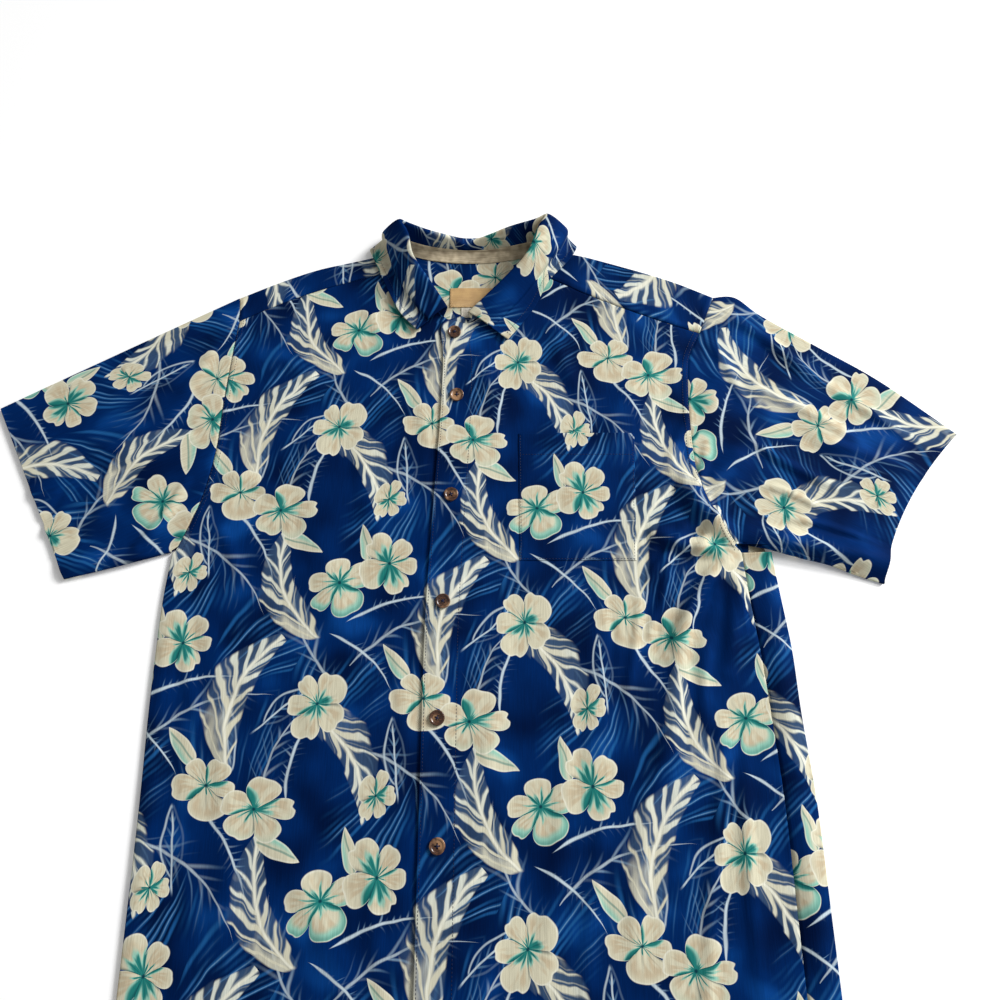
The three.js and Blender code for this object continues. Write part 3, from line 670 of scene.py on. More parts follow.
def make_sleeve(upper_fold, lower_fold, opening_bow, front_edge, back_edge, seam_line, print_place):
    """A sleeve: a flat tube whose two layers start on the armhole edges of front and back"""
    away = math.copysign(1, upper_fold[-1, 0])
    hem_places = np.array([1.0, 2.2, 4.0, 10.0, 16.0, 22.0, 26.0, 27.2, 28.4, 29.6, 31.0])
    v = places(240, CELL, first=BESIDE_SEAM[:-1], last=hem_places)
    top, low = curve(upper_fold, v), curve(lower_fold, v)
    upward = top - low
    width = np.linalg.norm(upward, axis=1, keepdims=True)
    upward /= width
    down = around_fold(low[:, :1], low[:, 1:], -upward[:, :1], -upward[:, 1:], TURNS[None, :])
    up = around_fold(top[:, :1], top[:, 1:], upward[:, :1], upward[:, 1:], 1 - TURNS[None, :])
    from_top = np.linalg.norm(up[:, -1, :2] - top, axis=1, keepdims=True) / width
    from_low = np.linalg.norm(down[:, 0, :2] - low, axis=1, keepdims=True) / width

    def layer(edge, count, height):
        cleared, edge_share = armhole_edge(edge, away)
        share = from_top + (1 - from_top - from_low) * np.linspace(0, 1, count + 2)[None, 1:-1]
        x = np.interp(share, edge_share, cleared[:, 0])
        y = np.interp(share, edge_share, cleared[:, 1])
        bend = -away * opening_bow * 4 * share * (1 - share) * v[:, None]
        shift_x = x - (top[0, 0] + (low[0, 0] - top[0, 0]) * share)
        shift_y = y - (top[0, 1] + (low[0, 1] - top[0, 1]) * share)
        at_x = top[:, :1] + (low[:, :1] - top[:, :1]) * share + (1 - v[:, None]) * shift_x + bend
        at_y = top[:, 1:] + (low[:, 1:] - top[:, 1:]) * share + (1 - v[:, None]) * shift_y
        return np.stack([at_x, at_y, height(at_x, at_y)], -1), share

    upper, upper_share = layer(front_edge, 84, front_height)
    lower, _ = layer(back_edge, 40, back_height)
    lower = lower[:, ::-1]
    run = run_length(upper, 0)
    along = upper[..., 1]
    relief = seamed(run, along, 11.0) + turned(run[-1:] - run, along, 12.0, SLEEVE_HEM)
    to_seam, beside = line_distance(seam_line, upper[..., 0], upper[..., 1])
    relief += 0.8 * seamed(np.abs(to_seam), beside, 13.0) + 0.25 * smooth(1 - np.abs(to_seam + 3.5) / 3.5)
    rim = smooth(np.minimum(upper_share, 1 - upper_share) * 25)
    upper[..., 2] += relief * rim
    half = len(TURNS) // 2
    ring = np.concatenate([down[:, half:], lower, up, upper, down[:, :half]], 1)
    # The print is laid on the upper layer and goes over the shoulder fold to the lower one
    around = np.concatenate([ring, ring[:, :1]], 1)[..., :2]
    below = np.zeros(around.shape[1], bool)
    below[:len(TURNS) - half + lower.shape[1] + half] = True
    fold_line = top[-1] - top[0]
    fold_line /= np.linalg.norm(fold_line)
    off_fold = (around - top[0]) @ np.array([-fold_line[1], fold_line[0]])
    mirrored = around - 2 * off_fold[..., None] * np.array([-fold_line[1], fold_line[0]])
    laid = np.where(below[None, :, None], mirrored, around)
    axis = (top[0] + low[0] - top[-1] - low[-1]) / 2
    axis /= np.linalg.norm(axis)
    uv = np.stack([laid @ np.array([axis[1], -axis[0]]), laid @ axis], -1) + np.array(print_place)
    if away > 0:
        ring = np.concatenate([ring[:, :1], ring[:, :0:-1]], 1)
        uv = uv[:, ::-1]
    return Panel(ring, uv, ring=True), upper.shape[1]


def line_distance(line, x, y):
    """Signed distance in plan from a polyline, and the distance along it"""
    line = np.asarray(line, float)
    best = np.full(x.shape, 1e9)
    beside = np.zeros(x.shape)
    before = 0.0
    for (x0, y0), (x1, y1) in zip(line[:-1], line[1:]):
        length = math.hypot(x1 - x0, y1 - y0)
        ux, uy = (x1 - x0) / length, (y1 - y0) / length
        s = np.clip((x - x0) * ux + (y - y0) * uy, 0, length)
        far = np.hypot(x - x0 - s * ux, y - y0 - s * uy)
        side = np.sign((y - y0) * ux - (x - x0) * uy)
        closer = far < np.abs(best)
        best = np.where(closer, far * np.where(side == 0, 1, side), best)
        beside = np.where(closer, before + s, beside)
        before += length
    return best, beside


def make_collar():
    """Collar: each section goes up from the neck seam, over the crest and down to the edge"""
    t = places(620, 3.4, first=(1.2, 3.0, 5.0, 6.2, 7.4), last=(1.2, 3.0, 5.0, 6.2, 7.4))
    rows = curve(COLLAR, t)
    behind = (t > BEHIND_NECK[0]) & (t < BEHIND_NECK[1])
    neck_x, neck_y = rows[:, 0], rows[:, 1]
    on_front = np.where(t > 0.5, over_height(neck_x, neck_y), front_height(neck_x, neck_y))
    neck_z = np.where(behind, back_height(neck_x, neck_y), on_front) + COLLAR_RISE
    neck = np.stack([neck_x, neck_y, neck_z], 1)
    crest, bend, edge = rows[:, 2:5], rows[:, 5:8], rows[:, 8:11]
    lying = bend + (edge - bend) * 0.2
    share = smooth((0.2 - np.abs(t - 0.5)) / 0.03 + 0.5)
    lying[:, 2] = bend[:, 2] + (edge[:, 2] - bend[:, 2]) * (0.85 + 0.15 * share)
    path = np.stack([neck, crest, bend, lying, edge])
    s = places(60, 1.7, last=(0.8, 2.0, 4.5, 6.0, 7.5))
    section = curve(path.reshape(5, -1), s).reshape(len(s), len(t), 3).swapaxes(0, 1)
    section[..., 2] = np.maximum(section[..., 2], 1.35)
    run = run_length(section, 1)
    to_edge = run[:, -1:] - run
    ends = run_length(section, 0)[:, -1:]
    to_end = np.minimum(ends, ends[-1:] - ends)
    leaf = smooth((s - 0.55) / 0.2)[None, :]
    free = 1 - np.where(behind, 1, 0)[:, None]
    stitched = np.exp(-(((np.minimum(to_edge, to_end) - 6) / 0.8) ** 2))
    wave = 0.8 * wander(ends / 9, 14.0) * smooth((s - 0.3) / 0.5)[None, :]
    section[..., 2] += free * leaf * (wave - 0.35 * stitched)
    uv = np.stack([ends - ends[-1:] / 2 + run * 0, 700 - run], -1)
    return Panel(section, uv, flip=True), t


def make_tape():
    """Neck tape over the back neck seam: it lies on the yoke and leans on the stand"""
    rows = curve(COLLAR, 0.315 + (0.68 - 0.315) * np.linspace(0, 1, 70))
    foot = np.stack([rows[:, 0], rows[:, 1], back_height(rows[:, 0], rows[:, 1]) + COLLAR_RISE], 1)
    rise = rows[:, 2:5] - foot
    inward = np.stack([np.zeros(len(rise)), -rise[:, 2], rise[:, 1]], 1)
    inward /= np.linalg.norm(inward, axis=1, keepdims=True)
    bow = (np.linspace(-1, 1, 70) ** 2)[:, None]
    share = np.clip((6 + 10 * bow[:, 0] - foot[:, 2]) / rise[:, 2], 0, 0.66)[:, None]
    top = foot + rise * share + inward * 2.2
    corner = foot + inward * 2.0
    front_y = foot[:, 1] - 16 + 9 * bow[:, 0]
    low = np.stack([foot[:, 0], front_y, back_height(foot[:, 0], front_y) + 1.2], 1)
    path = np.stack([low, low + (corner - low) * 0.5, corner, corner + (top - corner) * 0.5, top])
    s = np.linspace(0, 1, 13)
    grid = curve(path.reshape(5, -1), s).reshape(len(s), len(rows), 3).swapaxes(0, 1)
    run = run_length(grid, 1)
    grid[..., 2] += 0.12 * wander(grid[..., 0] / 1.5, 15.0)
    uv = np.stack([grid[..., 0], run], -1)
    return Panel(grid, uv)


def make_patch(left, right, bottom, top, lean, height, rise, cell, edges, seed):
    """A patch of cloth that lies on a panel, sewn down along its edges"""
    u = places(right - left, cell, first=edges, last=edges)
    v = places(top - bottom, cell, first=edges, last=edges)[:, None]
    x = left + (right - left) * u + lean * v * u
    y = np.broadcast_to(bottom + (top - bottom) * v, x.shape)
    puff = smooth(np.minimum(np.minimum(x - left, right + lean * v - x), y - bottom) / 14)
    grid = np.stack([x, y, height(x, y) + rise + 0.35 * puff * (1 + 0.5 * wander(x / 7, seed))], -1)
    return grid


def make_pocket():
    grid = make_patch(POCKET_LEFT, POCKET_RIGHT, POCKET_BOTTOM, POCKET_TOP, POCKET_LEAN,
                      over_height, 1.15, 3.0, (0.7, 1.8, 2.9, 4.5), 16.0)
    x, y = grid[..., 0], grid[..., 1]
    side = np.minimum(x - grid[:, :1, 0], grid[:, -1:, 0] - x)
    rim = np.minimum(side, y - POCKET_BOTTOM)
    grid[..., 2] += seamed(rim, x + y, 17.0) - 0.25 * np.exp(-(((rim - 1.8) / 0.7) ** 2))
    grid[..., 2] += 0.5 * turned(POCKET_TOP - y, x, 18.0, 25)
    grid[..., 2] += 0.9 * smooth((y - POCKET_TOP + 20) / 20) * smooth(side / 40)
    return Panel(grid, flat_rows_uv(grid, 0, OVER_PRINT))


def stitches(name, lines, pitch=3.2, length=2.3, width=0.5, height=0.32):
    """Thread along lines of surface points and normals, as one mesh of small slim stitches"""
    centres, directions, ups = [], [], []
    for line in lines:
        points, normals = line[:, :3], line[:, 3:]
        run = np.concatenate([[0], np.cumsum(np.linalg.norm(np.diff(points, axis=0), axis=1))])
        at = np.arange(pitch / 2, run[-1] - pitch / 2, pitch)
        if len(at) == 0:
            continue
        where = [np.stack([np.interp(at + k, run, points[:, c]) for c in range(3)], 1) for k in (-0.6, 0, 0.6)]
        centres.append(where[1])
        directions.append(where[2] - where[0])
        ups.append(np.stack([np.interp(at, run, normals[:, c]) for c in range(3)], 1))
    centre = np.concatenate(centres)
    along = np.concatenate(directions)
    along /= np.maximum(np.linalg.norm(along, axis=1, keepdims=True), 1e-9)
    up = np.concatenate(ups)
    up /= np.maximum(np.linalg.norm(up, axis=1, keepdims=True), 1e-9)
    side = np.cross(along, up)
    side /= np.maximum(np.linalg.norm(side, axis=1, keepdims=True), 1e-9)
    shape = [(-0.5, 0, 0.1), *((-0.3, w, h) for w, h in STITCH_SECTION),
             *((0.3, w, h) for w, h in STITCH_SECTION), (0.5, 0, 0.1)]
    parts = [centre + along * a * length + side * w * width + up * h * height for a, w, h in shape]
    points = np.stack(parts, 1).reshape(-1, 3)
    faces = []
    for k in range(4):
        following = (k + 1) % 4
        faces.append([0, 1 + k, 1 + following, 1 + following])
        faces.append([1 + k, 5 + k, 5 + following, 1 + following])
        faces.append([9, 5 + following, 5 + k, 5 + k])
    triangles = []
    for a, b, c, d in faces:
        triangles.append([a, b, c])
        if d != c:
            triangles.append([a, c, d])
    triangles = np.array(triangles)
    start = np.arange(len(centre))[:, None, None] * 10
    return new_mesh_object(name, points, (triangles[None] + start).reshape(-1, 3))


STITCH_SECTION = ((0.5, 0.15), (0, 1), (-0.5, 0.15), (0, -0.8))

under_front = make_under_front()
over_front, over_body_rows = make_over_front()
back, body_count, back_columns = make_back(under_front, over_front)
yoke, yoke_under, yoke_over, yoke_t = make_yoke(
    back.points[-1, :back_columns], under_front.points[-1, SIDE_COLUMNS:], over_front.points[-1],
)


def armhole(strip, rows, column):
    """Points of an armhole from the shoulder down, on the front or on the back"""
    return np.concatenate([strip, rows[body_count:, column][::-1]])


RIGHT_SLEEVE_SEAM = [(-338, 187), (-346, 187), (-400, 182), (-452, 177)]
LEFT_SLEEVE_SEAM = [(246, 225), (285, 208), (328, 206), (367, 202), (397, 189)]
sleeve_right, right_upper = make_sleeve(
    RIGHT_UPPER_FOLD, RIGHT_LOWER_FOLD, 0,
    armhole(yoke.points[0, -yoke_over:], under_front.points, SIDE_COLUMNS),
    armhole(yoke.points[0, :yoke_under][::-1], back.points, 0),
    RIGHT_SLEEVE_SEAM, (0, 0),
)
sleeve_left, left_upper = make_sleeve(
    LEFT_UPPER_FOLD, LEFT_LOWER_FOLD, LEFT_OPENING_BOW,
    armhole(yoke.points[-1, -yoke_over:], over_front.points, -1),
    armhole(yoke.points[-1, :yoke_under][::-1], back.points, back_columns - 1),
    LEFT_SLEEVE_SEAM, (80, 120),
)
collar, collar_t = make_collar()
tape = make_tape()
pocket = make_pocket()


# ---- Dyes of the print, as seen on a screen from 0 to 255 ----
def dye(red, green, blue):
    """A screen colour as the linear colour that a node takes"""
    linear = [c / 3294.6 if c <= 10.31 else ((c / 255 + 0.055) / 1.055) ** 2.4 for c in (red, green, blue)]
    return (*linear, 1.0)


DEEP_NAVY = dye(0, 18, 56)
NAVY = dye(0, 36, 90)
BRIGHT_NAVY = dye(8, 62, 130)
ROYAL = dye(26, 82, 138)
MIST = dye(100, 140, 174)
PALE_MIST = dye(192, 206, 212)
LEAF_WHITE = dye(206, 210, 198)
LEAF_BLUE = dye(66, 90, 118)
CREAM = dye(203, 198, 173)
WARM_CREAM = dye(190, 176, 148)
PETAL_RIM = dye(222, 221, 204)
PALE_TEAL = dye(140, 190, 172)
TEAL = dye(34, 118, 112)
DEEP_TEAL = dye(12, 58, 70)

# One repeat of the print: its step across, which also goes up, and its step up
REPEAT_ACROSS, REPEAT_RISE, REPEAT_UP = 200.0, 78.0, 288.0

# Motifs of one repeat: x, y of the centre, turn in degrees, half-length, half-width, and a
# seed whose fraction says how much teal a flower has
LOWER_FLOWERS = [(38, 226, 20, 38, 34, 1.85), (126, 112, -15, 36, 32, 2.2),
                 (24, 108, 40, 38, 34, 3.3), (84, 26, 75, 26, 22, 4.1)]
UPPER_FLOWERS = [(88, 244, 62, 39, 34, 5.15), (172, 92, 10, 38, 35, 6.45)]
STRIPED_LEAVES = [(54, 64, -56, 64, 32, 1.0), (150, 202, 66, 70, 36, 2.0), (184, 14, 108, 62, 30, 3.0)]
FRONDS = [(112, 176, 22, 74, 34, 1.0), (14, 172, 118, 66, 32, 2.0), (116, 34, -38, 72, 34, 3.0),
          (190, 136, 70, 56, 28, 4.0)]
TWIGS = [(96, 204, 14, 52, 15, 1.0), (150, 56, -58, 50, 14, 2.0), (8, 62, 74, 46, 15, 3.0),
         (66, 152, -40, 44, 13, 4.0)]
PALMS = [(40, 130, 84, 70, 62, 1.0), (140, 150, 112, 66, 60, 2.0), (90, 280, -100, 70, 60, 3.0),
         (170, 250, 60, 66, 60, 4.0)]
SMALL_LEAVES = [(100, 66, 96, 32, 11, 1.0), (196, 186, 40, 30, 11, 2.0), (140, 156, -78, 32, 11, 3.0)]
BUDS = [(98, 148, 128, 22, 9, 1.0), (198, 56, -24, 23, 10, 2.0), (62, 268, 100, 20, 8, 3.0)]


class Brush:
    """Adds nodes to one tree: sockets and plain numbers go in, and a socket comes out"""

    def __init__(self, tree):
        self.tree = tree

    def node(self, kind, inputs, output=0, **settings):
        node = self.tree.nodes.new(kind)
        for name, value in settings.items():
            setattr(node, name, value)
        for key, value in inputs.items():
            if isinstance(value, bpy.types.NodeSocket):
                self.tree.links.new(value, node.inputs[key])
            else:
                node.inputs[key].default_value = value
        return node.outputs[output]

    def math(self, operation, *values, clamp=False):
        return self.node("ShaderNodeMath", dict(enumerate(values)), operation=operation, use_clamp=clamp)

    def vector(self, operation, *values):
        output = 1 if operation in ("DOT_PRODUCT", "LENGTH") else 0
        return self.node("ShaderNodeVectorMath", dict(enumerate(values)), output, operation=operation)

    def step(self, value, low, high):
        """0 where the value is at low, 1 where it is at high, and smooth between"""
        inputs = {0: value, 1: low, 2: high}
        return self.node("ShaderNodeMapRange", inputs, interpolation_type="SMOOTHSTEP")

    def between(self, factor, a, b):
        return self.node("ShaderNodeMix", {0: factor, 2: a, 3: b}, data_type="FLOAT")

    def choose(self, factor, a, b):
        return self.node("ShaderNodeMix", {0: factor, 4: a, 5: b}, 1, data_type="VECTOR")

    def paint(self, factor, a, b, blend="MIX"):
        return self.node("ShaderNodeMix", {0: factor, 6: a, 7: b}, 2, data_type="RGBA", blend_type=blend)

    def combine(self, x, y, z=0.0):
        return self.node("ShaderNodeCombineXYZ", {0: x, 1: y, 2: z})

    def split(self, vector):
        node = self.tree.nodes.new("ShaderNodeSeparateXYZ")
        self.tree.links.new(vector, node.inputs[0])
        return node.outputs[0], node.outputs[1], node.outputs[2]

    def noise(self, vector, scale, detail=2.0, output=0, **inputs):
        inputs = {"Vector": vector, "Scale": scale, "Detail": detail, **inputs}
        return self.node("ShaderNodeTexNoise", inputs, output)

    def chance(self, vector):
        """Three numbers from 0 to 1 that belong to a whole-numbered place"""
        return self.split(self.node("ShaderNodeTexWhiteNoise", {0: vector}, 1, noise_dimensions="3D"))

    def group(self, tree, inputs):
        node = self.tree.nodes.new("ShaderNodeGroup")
        node.node_tree = tree
        for key, value in inputs.items():
            if isinstance(value, bpy.types.NodeSocket):
                self.tree.links.new(value, node.inputs[key])
            else:
                node.inputs[key].default_value = value
        return node.outputs


def new_group(name, inputs, outputs):
    """An empty shader group with its named sockets, as (tree, brush, input sockets, finish)"""
    tree = bpy.data.node_groups.new(name, "ShaderNodeTree")
    for label, kind, value in inputs:
        socket = tree.interface.new_socket(label, in_out="INPUT", socket_type=kind)
        socket.default_value = value
    for label, kind in outputs:
        tree.interface.new_socket(label, in_out="OUTPUT", socket_type=kind)
    enter = tree.nodes.new("NodeGroupInput")
    leave = tree.nodes.new("NodeGroupOutput")

    def finish(**results):
        for label, socket in results.items():
            tree.links.new(socket, leave.inputs[label])
        return tree

    return Brush(tree), enter.outputs, finish


VECTOR, FLOAT, COLOR = "NodeSocketVector", "NodeSocketFloat", "NodeSocketColor"
MOTIF_IN = [("Place", VECTOR, (0, 0, 0))]
MOTIF_OUT = [("Color", COLOR), ("Mask", FLOAT)]


def flower_group():
    """A flower of five uneven petals; z holds its seed, whose fraction is its share of teal"""
    brush, enter, finish = new_group("five_petal_flower", MOTIF_IN, MOTIF_OUT)
    math_, step = brush.math, brush.step
    x, y, seed = brush.split(enter["Place"])
    teal_share = math_("FRACT", seed)
    angle = math_("ARCTAN2", y, x)
    wide = math_("SINE", math_("MULTIPLY_ADD", seed, 5.0, angle))
    uneven = math_("SINE", math_("MULTIPLY_ADD", angle, 2.0, math_("MULTIPLY", seed, 3.0)))
    turn = math_("MULTIPLY_ADD", uneven, 0.12, math_("MULTIPLY", wide, 0.2))
    turn = math_("MULTIPLY_ADD", angle, 5 / (2 * math.pi), turn)
    petal = math_("FLOOR", math_("ADD", turn, 0.5))
    w = math_("MULTIPLY", math_("SUBTRACT", turn, petal), 2.0)
    side = math_("ABSOLUTE", w)
    # The turn jumps by five petals behind the flower, where both numbers mean one petal
    petal = math_("FLOORED_MODULO", petal, 5.0)
    long_chance, teal_chance, tuck_chance = brush.chance(brush.combine(petal, math_("FLOOR", seed), 3.0))
    far = brush.vector("LENGTH", brush.combine(x, y))
    reach = math_("MULTIPLY_ADD", long_chance, 0.3, 0.72)
    dip = math_("MULTIPLY", math_("POWER", side, 3.6), math_("MULTIPLY_ADD", tuck_chance, 0.25, 0.3))
    notch = math_("MULTIPLY", step(math_("ABSOLUTE", math_("SUBTRACT", w, 0.2)), 0.3, 0.0), teal_chance)
    edge = math_("MULTIPLY", reach, math_("SUBTRACT", 1.0, math_("MULTIPLY_ADD", notch, 0.1, dip)))
    inside = math_("SUBTRACT", edge, far)
    mask = step(inside, -0.01, 0.02)
    # Warm patches and ridges that fan out from the throat
    fan = math_("SINE", math_("MULTIPLY_ADD", w, 8.0, math_("MULTIPLY", seed, 2.0)))
    mottle = brush.noise(brush.combine(math_("MULTIPLY", w, 1.4), far, seed), 2.2, 1.0)
    warm = math_("MULTIPLY", step(mottle, 0.42, 0.66), step(inside, 0.02, 0.25))
    color = brush.paint(warm, CREAM, WARM_CREAM)
    color = brush.paint(math_("MULTIPLY", step(inside, 0.07, 0.01), 0.8), color, PETAL_RIM)
    # Teal streaks at the throat, a wedge in some of the gaps, and a rim on the teal flowers
    teal_reach = math_("MULTIPLY_ADD", math_("POWER", teal_chance, 3.0), 0.55, 0.14)
    teal_reach = math_("MULTIPLY_ADD", teal_share, 0.3, teal_reach)
    rayed = step(tuck_chance, 0.55, 0.35)
    fanned = math_("MULTIPLY", fan, math_("MULTIPLY_ADD", rayed, 0.09, 0.02))
    streak = math_("MULTIPLY_ADD", math_("SUBTRACT", mottle, 0.5), 0.6, fanned)
    throat = step(math_("SUBTRACT", far, streak), teal_reach, math_("MULTIPLY", teal_reach, 0.3))
    slim = math_("MULTIPLY", step(far, 0.85, 0.1), math_("MULTIPLY_ADD", tuck_chance, 1.9, -0.35))
    wedge = step(w, math_("SUBTRACT", 1.0, slim), math_("SUBTRACT", 1.05, math_("MULTIPLY", slim, 0.35)))
    wedge = math_("MULTIPLY", wedge, step(tuck_chance, 0.3, 0.4))
    rim = math_("MULTIPLY", step(inside, 0.4, 0.05), math_("SUBTRACT", teal_share, 0.3))
    rim = math_("MULTIPLY", rim, step(math_("MULTIPLY", y, -1.0), -0.2, 0.5))
    wash = math_("MAXIMUM", math_("MAXIMUM", throat, math_("MULTIPLY", rim, 1.35)), wedge, clamp=True)
    wash = math_("MULTIPLY", wash, step(inside, 0.0, 0.05))
    color = brush.paint(step(wash, 0.05, 0.6), color, PALE_TEAL)
    color = brush.paint(step(wash, 0.5, 1.0), color, TEAL)
    # Each petal shades the next one on one side; fine veins and the eye
    shaded = math_("MULTIPLY", step(w, 0.78, 1.0), step(far, 0.9, 0.45))
    shaded = math_("MULTIPLY", math_("MAXIMUM", shaded, step(w, -0.97, -1.0)), step(inside, -0.02, 0.1))
    vein = math_("MULTIPLY", math_("MULTIPLY", step(fan, 0.7, 1.0), rayed), step(far, 0.65, 0.15))
    dark = math_("MAXIMUM", math_("MULTIPLY", shaded, 0.7), math_("MULTIPLY", vein, 0.4))
    color = brush.paint(math_("MAXIMUM", dark, step(far, 0.07, 0.02)), color, DEEP_TEAL)
    return finish(Color=color, Mask=mask)


def striped_leaf_group():
    """A broad leaf of brush strokes off a pale rib; x runs along it and y across it, both to 1"""
    brush, enter, finish = new_group("striped_leaf", MOTIF_IN, MOTIF_OUT)
    math_, step = brush.math, brush.step
    x, y, seed = brush.split(enter["Place"])
    bent = math_("ADD", y, math_("MULTIPLY_ADD", math_("MULTIPLY", x, x), 0.7, -0.1))
    side = math_("ABSOLUTE", bent)
    which = math_("GREATER_THAN", bent, 0.0)
    tip = math_("POWER", math_("SUBTRACT", 1.0, x), 0.75)
    heel = math_("POWER", math_("ADD", 1.0, x), 0.4)
    half = math_("MULTIPLY", math_("MULTIPLY", tip, heel), math_("MULTIPLY_ADD", which, 0.42, 0.5))
    out = math_("DIVIDE", side, math_("MAXIMUM", half, 0.02))
    lean = math_("MULTIPLY", math_("POWER", side, 0.8), 2.5)
    fine = brush.noise(brush.combine(math_("MULTIPLY", x, 2.0), math_("MULTIPLY", y, 2.0), seed), 1.3, 1.0)
    phase = math_("SUBTRACT", math_("MULTIPLY_ADD", which, 0.4, math_("MULTIPLY", x, 3.3)), lean)
    phase = math_("MULTIPLY_ADD", fine, 0.9, phase)
    stripe = math_("FLOOR", phase)
    place = math_("SUBTRACT", phase, stripe)
    wide_chance, long_chance, dark_chance = brush.chance(brush.combine(stripe, which, seed))
    # A pale stroke that narrows outward, beside a grey-blue one
    width = math_("MULTIPLY_ADD", wide_chance, 0.3, 0.42)
    width = math_("MULTIPLY_ADD", math_("POWER", out, 2.0), -0.22, width)
    pale = math_("MULTIPLY", step(place, 0.0, 0.14), step(place, width, math_("SUBTRACT", width, 0.2)))
    thread = math_("MULTIPLY", step(math_("ABSOLUTE", math_("SUBTRACT", place, 0.84)), 0.1, 0.0), 0.6)
    pale = math_("MAXIMUM", pale, math_("MULTIPLY", thread, step(dark_chance, 0.4, 0.6)))
    pale = math_("MAXIMUM", pale, step(side, 0.12, 0.02))
    plain = math_("MULTIPLY", step(math_("ADD", x, fine), 0.1, -0.3), which)
    pale = math_("MAXIMUM", pale, math_("MULTIPLY", plain, 0.85))
    end = math_("MULTIPLY_ADD", long_chance, -0.28, 1.0)
    ragged = step(out, end, math_("SUBTRACT", end, 0.12))
    ends = step(math_("ABSOLUTE", x), 1.0, 0.95)
    gap = math_("MULTIPLY_ADD", math_("POWER", out, 1.5), -0.5, 0.95)
    gap = math_("MULTIPLY", gap, math_("MULTIPLY_ADD", dark_chance, 0.5, 0.5))
    mask = math_("MULTIPLY", math_("MULTIPLY", ragged, ends), math_("MAXIMUM", pale, gap))
    color = brush.paint(pale, LEAF_BLUE, LEAF_WHITE)
    warm = math_("MULTIPLY", step(math_("ADD", x, fine), 0.9, 0.1), pale)
    color = brush.paint(math_("MULTIPLY", warm, 0.8), color, CREAM)
    color = brush.paint(step(side, 0.06, 0.01), color, PETAL_RIM)
    return finish(Color=color, Mask=mask)


def frond_group():
    """A feathery frond: a pale midrib with slanted brush strokes; x along it, y across it"""
    inputs = [*MOTIF_IN, ("Strokes", FLOAT, 8.0), ("Slant", FLOAT, 2.6), ("Rib", FLOAT, 0.05), ("Far side", FLOAT, 1.0)]
    brush, enter, finish = new_group("feathery_frond", inputs, MOTIF_OUT)
    math_, step = brush.math, brush.step
    x, y, seed = brush.split(enter["Place"])
    bent = math_("ADD", y, math_("MULTIPLY_ADD", math_("MULTIPLY", x, x), 0.6, -0.25))
    side = math_("ABSOLUTE", bent)
    which = math_("GREATER_THAN", bent, 0.0)
    lean = math_("MULTIPLY", math_("POWER", side, 0.75), enter["Slant"])
    phase = math_("SUBTRACT", math_("MULTIPLY", x, enter["Strokes"]), lean)
    phase = math_("MULTIPLY_ADD", which, 0.1, phase)
    stroke = math_("FLOOR", phase)
    place = math_("SUBTRACT", phase, stroke)
    long_chance, light_chance, wide_chance = brush.chance(brush.combine(stroke, which, seed))
    taper = math_("SUBTRACT", 1.0, math_("MULTIPLY", x, x))
    half = math_("MULTIPLY", taper, math_("MULTIPLY_ADD", long_chance, 0.75, 0.3))
    out = math_("DIVIDE", side, math_("MAXIMUM", half, 0.02))
    body = math_("MULTIPLY", step(out, 1.0, 0.25), step(math_("ABSOLUTE", x), 0.82, 0.45))
    middle = math_("MULTIPLY_ADD", long_chance, 0.3, 0.3)
    width = math_("MULTIPLY", math_("MULTIPLY_ADD", wide_chance, 0.2, 0.16), math_("MULTIPLY_ADD", out, -0.6, 1.0))
    bristle = step(math_("ABSOLUTE", math_("SUBTRACT", place, middle)), width, 0.0)
    strokes = math_("MULTIPLY", math_("MULTIPLY", bristle, body), math_("MULTIPLY_ADD", light_chance, 0.9, 0.1))
    strokes = math_("MULTIPLY", strokes, brush.between(which, enter["Far side"], 1.0))
    rib_edge = math_("MULTIPLY", enter["Rib"], math_("MULTIPLY_ADD", x, -0.7, 1.3))
    rib_edge = math_("MULTIPLY", rib_edge, step(math_("ABSOLUTE", x), 1.04, 0.6))
    rib_edge = math_("MAXIMUM", rib_edge, 0.001)
    rib = math_("MULTIPLY", step(side, rib_edge, math_("MULTIPLY", rib_edge, 0.3)), step(math_("ABSOLUTE", x), 1.0, 0.9))
    color = brush.paint(math_("MAXIMUM", rib, math_("MULTIPLY", step(out, 0.7, 0.0), wide_chance)), MIST, PALE_MIST)
    mask = math_("MAXIMUM", strokes, math_("MULTIPLY", rib, 0.9), clamp=True)
    return finish(Color=color, Mask=mask)


